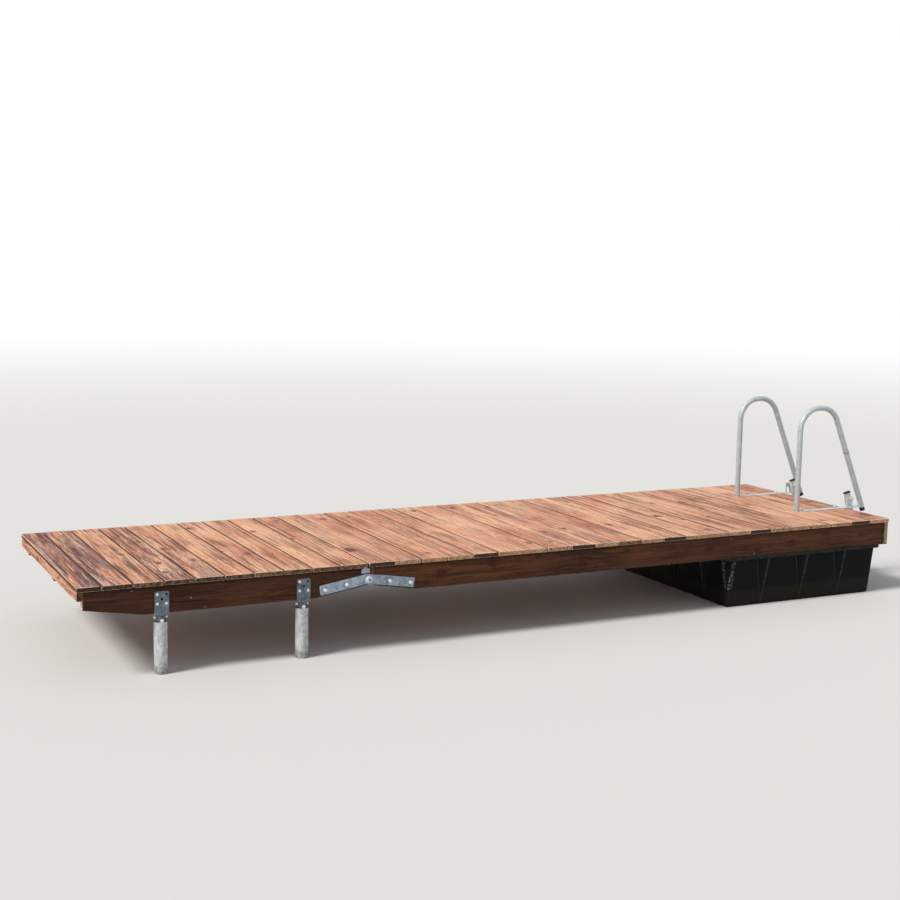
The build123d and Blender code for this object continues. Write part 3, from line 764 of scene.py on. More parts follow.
# %% [markdown]
# ## The deck boards
#
# The boards' pitch comes from the model: a full board and a gap, with the first board of each section
# ripped narrower. Three large knots are put where the real deck shows them, and all the others are drawn
# at random from one seed. The sawn ends don't quite line up, as on any deck.

# %% Lay the boards
board_width = 0.145
board_gap = 0.005
board_pitch = board_width + board_gap
board_easing = 0.0035
uneven_ends = 0.0025
large_knots = [(-1.053, -0.361, 0.026), (1.050, -0.125, 0.020), (2.305, -0.535, 0.028)]


def board_rows(node, section):
    """The boards of one section, from its low end. The first is what the full boards leave over. The
    large knots that the deck shows are given by x, y and radius, and go to the board they lie on."""
    low_corner, high_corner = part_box(node)
    length = high_corner.x - low_corner.x
    full = int(length / board_pitch)
    first = length - full * board_pitch
    lows = low_corner.x + np.concatenate([[0.0], first + board_gap + np.arange(full) * board_pitch])
    widths = np.concatenate([[first], np.full(full, board_width)])
    rows = []
    for index, (low, width) in enumerate(zip(lows, widths)):
        plain = plain_end[section] + random.uniform(-plain_end_spread, plain_end_spread)
        near_end = dark_ended[section].get(index, plain)
        looks = board_looks[section]
        chosen = random.uniform(*other_looks)
        tone, purple, contrast, near_stain = looks[index] if index < len(looks) else chosen
        pale_chance, pale_share = edge_chances[section]
        first_edge = pale_share if random.uniform() < pale_chance else gap_shade_edges[0]
        trim = random.uniform(0.0, uneven_ends, 2)
        known = [(low + width / 2 - x, y - low_corner.y, radius) for x, y, radius in large_knots
                 if low < x < low + width]
        rows.append(timber(
            low_corner.y + trim[0], high_corner.y - trim[1], low_corner.z, high_corner.z, width, board_easing,
            low + width / 2, turned=True, tone=tone, purple=purple, contrast=contrast, near_stain=near_stain,
            edges=(first_edge, *gap_shade_edges[1:]), end_stain=(near_end, far_end), log_depth=(0.025, 0.085),
            knot_chance=0.30, largest_knot=0.013, known_knots=known))
    return rows


for section in ("shore", "float"):
    rows = board_rows(section + "_deck_boards", section)
    boards = gather(section + "_boards", rows, deck_wood)
    own(boards, section + "_section", "deck_boards", section + "_deck_boards")
    print(section, "boards:", len(rows))

# %% [markdown]
# ## The timber frame
#
# The bearers, the end boards and the short pieces between the bearers get the same treatment. The
# outline of a bearer's underside is read back from the model, so the toe and the bevel stay where the
# construction put them. The bearers' bank ends were sawn after staining and still show pale wood. The
# low end board at the bank carries the deck's stain.

# %% Dress the frame
frame_easing = 0.003


def underside(node):
    """The lowest corner of a node at each x where it has corners, as two lists."""
    corners = np.empty(len(nodes[node].data.vertices) * 3, np.float32)
    nodes[node].data.vertices.foreach_get("co", corners)
    corners = corners.reshape(-1, 3).astype(float).round(5)
    places = np.unique(corners[:, 0])
    lowest = np.array([corners[corners[:, 0] == x, 2].min() for x in places])
    return places, lowest


def bearer(node, body, ends, tone):
    """A bearer along the jetty, its wide face to the side."""
    low_corner, high_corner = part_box(node)
    places, lowest = underside(node)
    part = timber(low_corner.x, high_corner.x, (places, lowest), high_corner.z, high_corner.y - low_corner.y,
                  frame_easing, (low_corner.y + high_corner.y) / 2, face_up=False, log_depth=(0.04, 0.09),
                  tone=tone, contrast=0.7, end_stain=ends, knot_chance=0.75, largest_knot=0.014)
    own(gather(node + "_wood", [part], frame_wood), body, "frame_timber", node)


def cross_timber(node, body, ends, wood_finish=frame_wood):
    """End boards and short pieces across the jetty. Short pieces are two parts, one on each side of the
    middle bearer."""
    low_corner, high_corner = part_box(node)
    width = high_corner.x - low_corner.x
    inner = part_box("shore_stringer_middle")
    half_gap = (inner[1].y - inner[0].y) / 2
    spans = [(low_corner.y, high_corner.y)]
    if "noggins" in node:
        spans = [(low_corner.y, -half_gap), (half_gap, high_corner.y)]
    parts = [timber(start, end, low_corner.z, high_corner.z, width, frame_easing,
                    (low_corner.x + high_corner.x) / 2, turned=True, face_up=False, log_depth=(0.03, 0.07),
                    tone=0.05, contrast=0.7, end_stain=ends, knot_chance=0.3) for start, end in spans]
    own(gather(node + "_wood", parts, wood_finish), body, "frame_timber", node)


for place in ("near", "middle", "far"):
    bearer("shore_stringer_" + place, "shore_section", ends=(0.0, 0.8), tone=0.45)
    bearer("float_stringer_" + place, "float_section", ends=(0.1, 0.8), tone=0.14)
cross_timber("shore_end_fascia", "shore_section", ends=(0.95, 0.9), wood_finish=deck_wood)
cross_timber("lake_end_fascia", "float_section", ends=(0.62, 0.5))
for node in ("shore_hinge_noggins", "shore_middle_noggins"):
    cross_timber(node, "shore_section", ends=(0.3, 0.3))
for node in ("float_hinge_noggins", "float_middle_noggins", "float_seat_noggins"):
    cross_timber(node, "float_section", ends=(0.3, 0.3))

# %% [markdown]
# ## Hot-dip zinc
#
# Zinc freezes in flat crystals, so a galvanised plate shows faint patches of slightly different grey
# and gloss. Cells around scattered points give the crystals, two scales of noise give the dull bloom
# and the run marks, and the patches change the roughness more than they change the colour. Plates are
# mottled most. The hoops are smooth drawn tube, so their two greys lie close together.

# %% Zinc finishes
run_stretch = 0.16
scratch_stretch = 0.05
soil_height = 0.070
soil_ragged = 0.10
soil_tint = tint(94, 74, 54)
zinc_relief = 0.00025


def zinc(name, light, dark, metallic, rough, crystal, soil=0.0, scratch_tint=None):
    """Galvanised steel. Crystal cells, bloom and runs are summed to a share between two greys, upright
    scratches add a third tone, and soil browns the lowest few centimetres, where rain splashes earth up."""
    w = Wiring(name)
    place = w.place()
    crystal_tone, crystal_gloss = w.split(w.cells(place, crystal))[:2]
    bloom = w.noise(place, 34.0, detail=4.0, roughness=0.6)
    runs = w.noise(w.scaled(place, 1.0, 1.0, run_stretch), 95.0, detail=3.0)
    grain = w.noise(place, 900.0, detail=2.0)
    share = w.plus(w.times(crystal_tone, 0.30), w.times(w.ramp(bloom, 0.34, 0.66), 0.46))
    share = w.plus(share, w.times(w.ramp(runs, 0.42, 0.66), 0.24), clamp=True)
    colour = w.mix(share, dark, light)
    if scratch_tint:
        scratch = w.noise(w.scaled(place, 1.0, 1.0, scratch_stretch), 260.0, detail=1.0)
        colour = w.mix(w.times(w.ramp(scratch, 0.64, 0.72), 0.5), colour, scratch_tint)
    if soil:
        height = w.plus(w.split(place)[2], w.swing(bloom, soil_ragged))
        specks = w.ramp(w.noise(place, 140.0, detail=2.0), 0.52, 0.66)
        cover = w.times(w.ramp(height, soil_height, 0.0), w.plus(specks, 0.45))
        colour = w.mix(w.math("MULTIPLY", cover, soil, clamp=True), colour, soil_tint)
    roughness = w.plus(w.times(crystal_gloss, 0.12), w.times(bloom, 0.14))
    normal = w.bump(w.plus(grain, w.times(bloom, 1.5)), zinc_relief)
    return w.finish(colour, w.plus(roughness, rough), normal, metallic)


bracket_zinc = zinc("bracket_zinc", tint(128, 138, 150), tint(68, 77, 88), metallic=0.30, rough=0.34,
                    crystal=85.0, scratch_tint=tint(52, 58, 65))
arm_zinc = zinc("arm_zinc", tint(178, 194, 210), tint(106, 121, 138), metallic=0.35, rough=0.32,
                crystal=85.0, scratch_tint=tint(84, 92, 101))
tube_zinc = zinc("tube_zinc", tint(200, 211, 212), tint(166, 177, 180), metallic=0.12, rough=0.28,
                 crystal=120.0, scratch_tint=tint(150, 157, 159))
rail_zinc = zinc("rail_zinc", tint(228, 234, 234), tint(190, 198, 200), metallic=0.10, rough=0.36,
                 crystal=95.0)
post_zinc = zinc("post_zinc", tint(224, 225, 223), tint(158, 162, 165), metallic=0.0, rough=0.36,
                 crystal=60.0, soil=0.9, scratch_tint=tint(92, 91, 88))
bright_zinc = zinc("bright_zinc", tint(246, 248, 248), tint(206, 212, 216), metallic=0.30, rough=0.22,
                   crystal=240.0)
washer_zinc = zinc("washer_zinc", tint(160, 170, 180), tint(104, 114, 124), metallic=0.35, rough=0.36,
                   crystal=160.0)
weld_zinc = zinc("weld_zinc", tint(160, 166, 167), tint(98, 103, 105), metallic=0.20, rough=0.40,
                 crystal=300.0)
print("zinc finishes:", bracket_zinc.name, arm_zinc.name, tube_zinc.name, post_zinc.name)

# %% [markdown]
# ## Moulded plastic
#
# The float is rotationally moulded. Its skin is black with a soft, slightly uneven gloss, paler rub
# marks, and a thin film of silt below the line where the water stood. The small plastic fittings share
# the finish without the silt.
#
# Edges wear first, but a material can't know where an edge is. So the mesh of the float carries an
# attribute of three numbers, made from the same formula as its grooves: how near a worn edge is, where
# groove edges and lip are worn and carry a painted highlight, whether a point lies in a groove, whose
# paler floor is painted light, and whether it lies on the scraped edge of a corner facet. A mesh without
# the attribute reads as 0, and shows none of the three.

# %% Plastic finishes
waterline = 0.110
silt_sway = 0.03
rub_stretch = 5.0
rub_mark_tint = tint(84, 86, 88)
# paler groove floor: painted light; worn tint: wear with a painted highlight
groove_light_tint = tint(26, 33, 36)
worn_and_highlight_tint = tint(74, 80, 78)
scrape_tint = tint(168, 174, 170)
silt_tint = tint(56, 52, 38)
peel_relief = 0.0004


def moulded(name, body_tint, rub_tint, rough, silt=0.0, specular=0.4):
    """Black plastic. Noise at three scales gives orange peel, rub marks and dust. A worn edge turns a
    patchy grey-green, wear with a painted highlight, a groove a little paler as painted light, and a
    scraped edge gets pale flecks where a fine noise passes a half. Silt is a step of the height, wavy by a
    noise, below the waterline."""
    w = Wiring(name)
    place = w.place()
    peel = w.noise(place, 420.0, detail=2.0)
    cloud = w.noise(place, 9.0, detail=4.0, roughness=0.6)
    rubs = w.noise(w.scaled(place, 1.0, 1.0, rub_stretch), 38.0, detail=4.0, roughness=0.7)
    colour = w.mix(w.times(w.ramp(cloud, 0.40, 0.7), 0.5), body_tint, rub_tint)
    colour = w.mix(w.times(w.ramp(rubs, 0.66, 0.76), 0.30), colour, rub_mark_tint)
    worn_and_highlit, groove_light, scraped = w.attribute("wear_and_light")
    # a groove's paler floor is painted light
    colour = w.mix(w.times(groove_light, 0.5), colour, groove_light_tint)
    # worn groove edges and lip: wear with a painted highlight
    patchy = w.ramp(w.noise(place, 60.0, detail=3.0), 0.34, 0.60, 0.25, 1.0)
    colour = w.mix(w.times(worn_and_highlit, patchy), colour, worn_and_highlight_tint)
    flecks = w.ramp(w.noise(place, 130.0, detail=4.0, roughness=0.75), 0.53, 0.57)
    colour = w.mix(w.times(scraped, flecks), colour, scrape_tint)
    if silt:
        height = w.plus(w.split(place)[2], w.swing(cloud, silt_sway))
        film = w.times(w.ramp(height, waterline + 0.006, waterline - 0.03), w.ramp(rubs, 0.25, 0.7))
        colour = w.mix(w.times(film, silt), colour, silt_tint)
    roughness = w.ramp(cloud, 0.3, 0.7, rough, rough + 0.16)
    normal = w.bump(w.plus(peel, w.times(cloud, 4.0)), peel_relief)
    return w.finish(colour, roughness, normal, specular=specular)


float_black = moulded("float_black", tint(3, 4, 5), tint(10, 12, 14), rough=0.46, silt=0.35, specular=0.10)
fitting_black = moulded("fitting_black", tint(18, 18, 19), tint(34, 34, 34), rough=0.36)
step_grey = moulded("step_grey", tint(40, 42, 44), tint(62, 64, 64), rough=0.5)
print("waterline on the float:", waterline)

# %% [markdown]
# ## Bolts as turned profiles
#
# A nut and the thread that stands out of it are one profile turned about an axis. A hexagon is the same
# turn with its radius limited by six flats: along a direction that is an angle away from the middle of a
# flat, a flat lies at its distance divided by the cosine of that angle. The chamfer of a nut comes for
# free, because the round limit is the smaller one near its top. The washer under it is a ring of its
# own, because its zinc is duller than the nut's. Heights and pitches are shares of the thread's diameter.

# %% A turned fixing
washer_height = 0.2
thread_pitch = 0.14
nut_sides = 24
head_sides = 20


def turned(profile, sides, flats=0.0, hexed=()):
    """Rings (radius, height) turned about an axis. Rings listed in hexed are cut by six flats: their
    radius is the smaller of their own and flats divided by the cosine to the nearest flat's middle."""
    angle = np.arange(sides) * 2 * np.pi / sides
    to_flat = (angle + np.pi / 6) % (np.pi / 3) - np.pi / 6
    radius = np.repeat(np.array(profile)[:, :1], sides, axis=1)
    for ring in hexed:
        radius[ring] = np.minimum(radius[ring], flats / np.cos(to_flat))
    height = np.repeat(np.array(profile)[:, 1:], sides, axis=1)
    points = np.stack([radius * np.cos(angle), radius * np.sin(angle), height], axis=-1).reshape(-1, 3)
    return points, *closed_rows(len(profile), sides)


def washer(size, reach=1.22):
    """A flat ring under a nut, solid here because the bolt fills it. Its reach is a share of the bolt."""
    height = washer_height * size
    profile = [((reach - 0.04) * size, 0.0), (reach * size, 0.03 * size),
               (reach * size, height - 0.03 * size), ((reach - 0.06) * size, height)]
    return turned(profile, nut_sides)


def nut(size, tail=0.0):
    """A chamfered hexagon that stands on its washer and, with a tail, a threaded end. Size is the thread's
    diameter, and the other sizes are the usual shares of it."""
    flats = 0.80 * size
    corner = flats / math.cos(math.pi / 6)
    base = washer_height * size
    top = base + 0.82 * size
    profile = [(flats * 0.97, base), (corner, base + 0.06 * size), (corner, top - 0.12 * size),
               (flats * 0.98, top)]
    if tail:
        profile += [(0.52 * size, top), (0.52 * size, top + 0.01 * size)]
        for turn in np.arange(0.0, tail, thread_pitch * size):
            profile += [(0.5 * size, top + turn + 0.05 * size), (0.43 * size, top + turn + 0.12 * size)]
        profile += [(0.36 * size, top + tail + 0.1 * size)]
    else:
        profile += [(0.3 * size, top + 0.012 * size)]
    return turned(profile, nut_sides, flats, range(4))


def domed_head(size):
    """A domed screw head with a socket, on its washer."""
    base = washer_height * size
    profile = [(0.90 * size, base), (0.92 * size, base + 0.14 * size), (0.74 * size, 0.58 * size),
               (0.50 * size, 0.68 * size), (0.42 * size, 0.69 * size), (0.40 * size, 0.34 * size)]
    return turned(profile, head_sides)


print("a nut with its thread has", len(nut(0.012, tail=0.006)[0]), "points")

# %% [markdown]
# ## Put a fixing in its place
#
# A bolt is modelled standing up at the origin, and the face that it goes on can look any way. Two
# directions that lie in the face, square to each other, and the face's normal turn it there. Its points
# are moved and not its object, because every finished piece stays at the origin and carries its place
# in its mesh.

# %% Turn, place and join
plain_sharp = 35.0


def facing(normal):
    """Two directions across a normal, so that the three are a right-handed set."""
    normal = np.array(normal, float)
    helper = np.array([0.0, 0.0, 1.0]) if abs(normal[2]) < 0.9 else np.array([1.0, 0.0, 0.0])
    first = np.cross(helper, normal)
    first /= np.linalg.norm(first)
    return np.array([first, np.cross(normal, first), normal])


def gather_plain(name, shapes, material, sharp=plain_sharp):
    """Joins plain shapes, each with its points, quads and caps, into one object. Edges that turn by more
    than the sharp angle, in degrees, stay sharp."""
    starts = np.cumsum([0] + [len(points) for points, quads, caps in shapes])
    faces = []
    for (points, quads, caps), start in zip(shapes, starts):
        faces += (quads + start).tolist() + [(cap + start).tolist() for cap in caps]
    mesh = bpy.data.meshes.new(name)
    mesh.from_pydata(np.concatenate([points for points, quads, caps in shapes]).tolist(), [], faces)
    return linked(mesh, material, math.radians(sharp))


def fixed_at(shape, place, normal, turn=0.0):
    """A shape moved to its place, its axis along the normal, turned about it."""
    points, quads, caps = shape
    first, second, out = facing(normal)
    spun = np.array([math.cos(turn) * first + math.sin(turn) * second,
                     math.cos(turn) * second - math.sin(turn) * first, out])
    return points @ spun + np.array(place, float), quads, caps


print("across a face that looks to the far side:", facing((0, 1, 0))[:2].round(1).tolist())

# %% [markdown]
# ## Plates with soft edges
#
# Hot zinc rounds every edge of a cut plate, and that thin round is what catches the light. The model's
# plates have the right shape but knife edges. Each one is copied, its triangles are merged back into flat
# faces, and a narrow bevel goes along the edges that turn by more than thirty degrees.

# %% Soften the steel
edge_round = 0.0009
edge_turn = math.radians(30.0)
steel_sharp = math.radians(20.0)
same_place = 1e-5
same_face = math.radians(0.5)


def softened(name, material, body, slot):
    """A copy of a model node with its triangles merged and its sharp edges rounded, in place of the node."""
    shape = bmesh.new()
    shape.from_mesh(nodes[name].data)
    bmesh.ops.remove_doubles(shape, verts=shape.verts, dist=same_place)
    bmesh.ops.dissolve_limit(shape, angle_limit=same_face, verts=shape.verts, edges=shape.edges)
    sharp = [edge for edge in shape.edges if edge.is_manifold and edge.calc_face_angle() > edge_turn]
    bmesh.ops.bevel(shape, geom=sharp, offset=edge_round, segments=2, profile=0.5, affect="EDGES",
                    clamp_overlap=True)
    mesh = bpy.data.meshes.new(name + "_steel")
    shape.to_mesh(mesh)
    shape.free()
    own(linked(mesh, material, steel_sharp), body, slot, name)


body_nodes = frame["record"]["behaviour"]["bodies"]
finishes = {"plugs": fitting_black, "latch": fitting_black, "arm": arm_zinc, "bracket": bracket_zinc,
            "corner_plates": arm_zinc, "base_bar": rail_zinc, "lug": rail_zinc, "rail": rail_zinc,
            "ground_screw": post_zinc, "nut": bright_zinc, "bolts": bright_zinc}
slots = {row["node"]: row["material_slot"] for row in frame["record"]["subparts"]}
for body, names in body_nodes.items():
    for name in names:
        finish = next((finish for word, finish in finishes.items() if word in name), None)
        if finish:
            softened(name, finish, body, slots[name])

# %% [markdown]
# ## Bolts on the hinge arms
#
# Each hinge arm is held by two bolts through its bearer, 120 and 238 mm from the pivot, and on the
# bearer's inner face each of them ends in a second nut. Every nut is turned by its own small angle, as a
# spanner leaves it.

# %% Bolt the arms
arm_slope = math.radians(9.0)
arm_thickness = 0.008
arm_bolts = (0.120, 0.238)
arm_bolt_size = 0.0112
arm_bolt_tail = 0.005
inner_nut_turn = 0.4
bearer_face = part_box("shore_stringer_far")[1].y
bearer_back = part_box("shore_stringer_far")[0].y

for section, way in (("shore", -1.0), ("float", 1.0)):
    bolts = []
    washers = []
    for side in (-1.0, 1.0):
        for distance in arm_bolts:
            from_hinge = [way * distance * math.cos(arm_slope), 0.0, -distance * math.sin(arm_slope)]
            place = hinge + np.array(from_hinge)
            outer = np.array([place[0], side * (bearer_face + arm_thickness), place[2]])
            inner = np.array([place[0], side * bearer_back, place[2]])
            turn = random.uniform(0.0, 1.0)
            bolts.append(fixed_at(nut(arm_bolt_size, arm_bolt_tail), outer, (0, side, 0), turn))
            bolts.append(fixed_at(nut(arm_bolt_size), inner, (0, -side, 0), turn + inner_nut_turn))
            washers.append(fixed_at(washer(arm_bolt_size), outer, (0, side, 0)))
            washers.append(fixed_at(washer(arm_bolt_size), inner, (0, -side, 0)))
    body = section + "_section"
    own(gather_plain(section + "_hinge_bolts", bolts, bright_zinc), body, "bright_fixings")
    own(gather_plain(section + "_hinge_washers", washers, washer_zinc), body, "bright_fixings")
print("bolts on each arm:", len(arm_bolts))

# %% [markdown]
# ## Screws in the brackets
#
# Each bracket has five holes, of which three carry a screw and two stay empty, as the model shows. The
# screws stand in two rows, counted from the bracket's top, and their wide washers hide the holes.

# %% Screw the brackets
bracket_screw_size = 0.0068
screw_washer_reach = 1.35
row_from_top = 0.014
row_spacing = 0.046
column_offset = 0.022

screws = []
washers = []
for name in ("shore_near", "shore_far", "lake_near", "lake_far"):
    low_corner, high_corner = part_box("screw_bracket_" + name)
    side = -1.0 if name.endswith("near") else 1.0
    face = side * max(abs(low_corner.y), abs(high_corner.y))
    centre = (low_corner.x + high_corner.x) / 2
    top_row = high_corner.z - row_from_top
    for x, z in ((-column_offset, top_row), (-column_offset, top_row - row_spacing),
                 (column_offset, top_row - row_spacing)):
        place = (centre + x, face, z)
        screws.append(fixed_at(domed_head(bracket_screw_size), place, (0, side, 0), random.uniform(0.0, 1.0)))
        washers.append(fixed_at(washer(bracket_screw_size, screw_washer_reach), place, (0, side, 0)))
own(gather_plain("bracket_screws", screws, bright_zinc), "shore_section", "bright_fixings")
own(gather_plain("bracket_washers", washers, washer_zinc), "shore_section", "bright_fixings")
print("screws in all brackets:", len(screws))

# %% [markdown]
# ## Bolts in the base bars
#
# Two short bolts hold each base bar of the hoops to the deck. They stand a little inwards of the bar's
# middle, and their places along it are counted from the foot of the hoop.

# %% Bolt the base bars
bar_bolt_size = 0.008
bar_bolt_tail = 0.002
bar_bolts = (0.052, 0.306)
bar_bolt_inwards = 0.008

bolts = []
washers = []
for side_name, inwards in (("near", 1.0), ("far", -1.0)):
    low_corner, high_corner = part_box("ladder_base_bar_" + side_name)
    middle = (low_corner.y + high_corner.y) / 2 + inwards * bar_bolt_inwards
    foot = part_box("ladder_hoop_" + side_name)
    foot_x = foot[0].x + (foot[1].y - foot[0].y) / 2
    for distance in bar_bolts:
        place = (foot_x + distance, middle, high_corner.z)
        turn = random.uniform(0.0, 1.0)
        bolts.append(fixed_at(nut(bar_bolt_size, bar_bolt_tail), place, (0, 0, 1), turn))
        washers.append(fixed_at(washer(bar_bolt_size), place, (0, 0, 1)))
own(gather_plain("base_bar_bolts", bolts, bright_zinc), "float_section", "bright_fixings")
own(gather_plain("base_bar_washers", washers, washer_zinc), "float_section", "bright_fixings")
print("bolts in both base bars:", len(bolts))

# %% [markdown]
# ## A bent tube
#
# A hoop is one tube, bent twice. Its centre line is straight runs joined by arcs, and a circle is
# carried along it. Since the whole line lies in one upright plane, the direction across that plane
# never changes, so the tube can't twist.

# %% A route and its tube
arc_step = math.radians(2.5)


def rounded_route(corners, radius):
    """Points and directions along straight runs joined by arcs, in x and z. An arc starts before its
    corner by the radius times the tangent of half the turn, and its points are the centre plus radius
    times (sine of the angle along the first run, less cosine of it inwards)."""
    corners = np.array(corners, float)
    points = [corners[:1]]
    ways = [(corners[1:2] - corners[:1]) / np.linalg.norm(corners[1] - corners[0])]
    for before, corner, after in zip(corners, corners[1:], corners[2:]):
        first = (corner - before) / np.linalg.norm(corner - before)
        second = (after - corner) / np.linalg.norm(after - corner)
        turn = math.acos(np.clip(first @ second, -1.0, 1.0))
        inward = second - first * (first @ second)
        inward /= np.linalg.norm(inward)
        begin = corner - first * radius * math.tan(turn / 2)
        centre = begin + inward * radius
        angle = np.linspace(0.0, turn, int(turn / arc_step) + 2)[:, None]
        points.append(centre + radius * (first * np.sin(angle) - inward * np.cos(angle)))
        ways.append(first * np.cos(angle) + inward * np.sin(angle))
    points.append(corners[-1:])
    ways.append(ways[-1][-1:])
    return np.concatenate(points), np.concatenate(ways)


def tube(route, ways, across_y, radius, sides):
    """A circle carried along a route in x and z: each ring is the route's point plus radius times
    (cos a times the direction across the plane, sin a times the direction square to the route)."""
    angle = np.arange(sides) * 2 * np.pi / sides
    square = np.stack([-ways[:, 1], np.zeros(len(ways)), ways[:, 0]], axis=-1)
    centre = np.stack([route[:, 0], np.full(len(route), across_y), route[:, 1]], axis=-1)
    ring = (centre[:, None, :] + radius * np.cos(angle)[None, :, None] * np.array([0.0, 1.0, 0.0])
            + radius * np.sin(angle)[None, :, None] * square[:, None, :])
    return ring.reshape(-1, 3), *closed_rows(len(route), sides)


print("degrees between two rings in a bend, at most:", round(math.degrees(arc_step), 1))

# %% [markdown]
# ## The hoops
#
# The leg on the bank side stands upright on its base bar. The top starts level, and the leg on the lake
# side leans out: it reaches the full span at the height of the deck and ends a little lower. The tube's
# size, the top and both feet are read from the model's boxes.

# %% Bend the hoops
hoop_bend = 0.138
hoop_flat = 0.251
hoop_span = 0.523
hoop_sides = 40

for place in ("near", "far"):
    low_corner, high_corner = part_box("ladder_hoop_" + place)
    hoop_radius = (high_corner.y - low_corner.y) / 2
    middle_y = (high_corner.y + low_corner.y) / 2
    foot_x = low_corner.x + hoop_radius
    top_z = high_corner.z - hoop_radius
    deck_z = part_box("float_deck_boards")[1].z
    bar_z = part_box("ladder_base_bar_" + place)[1].z
    slope = (hoop_span - hoop_flat) / (top_z - deck_z)
    end_z = low_corner.z + hoop_radius * math.sin(math.atan(slope))
    end_x = foot_x + hoop_span + slope * (deck_z - end_z)
    corners = [(foot_x, bar_z), (foot_x, top_z), (foot_x + hoop_flat, top_z), (end_x, end_z)]
    route, ways = rounded_route(corners, hoop_bend)
    hoop = gather_plain("hoop_" + place, [tube(route, ways, middle_y, hoop_radius, hoop_sides)], tube_zinc)
    own(hoop, "float_section", "galvanised_tube", "ladder_hoop_" + place)
print("hoop tube radius:", round(hoop_radius, 4), "top of its centre line:", round(top_z, 3))

# %% [markdown]
# ## Weld beads
#
# Where a tube meets a plate, a welder leaves a bead: a small hump all the way round, in overlapping
# scales. It is a turned ring whose size goes up and down with the angle, and a straight bead is a thin
# bar whose radius goes up and down along it.

# %% A bead of weld
bead = 0.0034
scale_pitch = 0.0035
scale_swell = 0.16
bead_sides = 144
bead_sink = 0.001
thin_bead_sides = 12
steps_a_scale = 6
tip_power = 12
tip_size = 0.02


def ring_bead(radius, size=bead):
    """A bead round a tube, foot at height 0. The profile is a quarter circle of the bead's size, and the
    size is multiplied by 1 plus a swell times a wave with one scale every few millimetres round."""
    angle = np.arange(bead_sides) * 2 * np.pi / bead_sides
    scales = round(2 * np.pi * radius / scale_pitch)
    swell = size * (1.0 + scale_swell * np.cos(scales * angle))
    lift = np.linspace(0.0, np.pi / 2, 5)[:, None]
    out = np.concatenate([np.full((1, bead_sides), radius - bead_sink), radius + swell * np.cos(lift)])
    height = np.concatenate([np.zeros((1, bead_sides)), swell * np.sin(lift)])
    points = np.stack([out * np.cos(angle), out * np.sin(angle), height], axis=-1)
    return points.reshape(-1, 3), *closed_rows(len(out), bead_sides)


def straight_bead(length, size=bead):
    """A bead along an axis: circles whose radius swells with each scale. The root of 1 minus a high power
    of the distance from the middle closes it at both ends."""
    height = np.linspace(0.0, length, int(length / scale_pitch * steps_a_scale) + 1)
    closing = np.sqrt(np.clip(1.0 - (np.abs(2 * height / length - 1.0)) ** tip_power, tip_size, 1.0))
    radius = size * closing * (1.0 + scale_swell * np.cos(2 * np.pi * height / scale_pitch))
    return turned(np.stack([radius, height], axis=-1), thin_bead_sides)


print("scales in a bead of 100 mm:", round(0.1 / scale_pitch))

# %% [markdown]
# ## Weld the hoops and brackets
#
# A ring of weld holds each hoop's foot on its base bar, short beads hold the ears, and a straight one
# runs across the bar's lake end. Near the middle of the near hoop's lake leg, a ring of weld joins two
# lengths of tube. Both hoops have the same tube, slope and deck height, so the beads use the ones worked
# out above. Under the seat of every bracket, a ring holds the stem that stands in the ground screw.

# %% Weld the joints
thin_bead = 0.0024
seam_bead = 0.0022
lug_bead_length = 0.010
bar_bead_margin = 0.003
butt_weld_height = 0.357
stem_radius = 0.024
seat_thickness = 0.008
weld_sharp = 60.0

beads = []
for place in ("near", "far"):
    hoop_low, hoop_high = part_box("ladder_hoop_" + place)
    bar_low, bar_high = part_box("ladder_base_bar_" + place)
    lug_low, lug_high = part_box("ladder_lug_" + place)
    middle_y = (hoop_low.y + hoop_high.y) / 2
    foot_x = hoop_low.x + hoop_radius
    beads.append(fixed_at(ring_bead(hoop_radius), (foot_x, middle_y, bar_high.z), (0, 0, 1)))
    for y in (lug_low.y, lug_high.y):
        for x in (lug_low.x, lug_high.x - lug_bead_length):
            beads.append(fixed_at(straight_bead(lug_bead_length, thin_bead), (x, y, bar_high.z), (1, 0, 0)))
    end_bead = straight_bead(bar_high.y - bar_low.y - 2 * bar_bead_margin)
    beads.append(fixed_at(end_bead, (bar_high.x, bar_low.y + bar_bead_margin, bar_high.z), (0, 1, 0)))
    if place == "near":
        leg = np.array([-slope, 0.0, 1.0]) / math.hypot(slope, 1.0)
        seam = (foot_x + hoop_span - slope * butt_weld_height, middle_y, deck_z + butt_weld_height)
        beads.append(fixed_at(ring_bead(hoop_radius, seam_bead), seam, leg))
        beads.append(fixed_at(ring_bead(hoop_radius, seam_bead), seam, -leg))
own(gather_plain("ladder_welds", beads, weld_zinc, weld_sharp), "float_section", "galvanised_tube")

beads = []
seat_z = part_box("shore_stringer_near")[0].z - seat_thickness
for name in ("shore_near", "shore_far", "lake_near", "lake_far"):
    tube_low, tube_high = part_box("ground_screw_" + name)
    middle = ((tube_low.x + tube_high.x) / 2, (tube_low.y + tube_high.y) / 2, seat_z)
    beads.append(fixed_at(ring_bead(stem_radius), middle, (0, 0, -1)))
own(gather_plain("bracket_welds", beads, weld_zinc, weld_sharp), "shore_section", "galvanised_plate")
print("welded brackets:", len(beads))

# %% [markdown]
# ## The moulded float
#
# The float is one hollow moulding: a tub with walls that lean in towards the bottom, so that it leaves
# its mould, and a flat lip all round. Tall grooves stiffen the walls. Each one is widest under the lip and
# runs out to a point, and the two corners towards the bank carry a facet that does the same.
#
# The whole skin is one grid. Round the float go the columns, up the wall go the levels, and the columns
# crowd together with the grooves, so that every groove's edge stays a line of the grid. The columns of
# one wall come first.

# %% Columns of a grooved wall
groove_pitch = 0.287
groove_softness = 0.10
groove_reach = 1.4
groove_steps = 20
plain_steps = 6


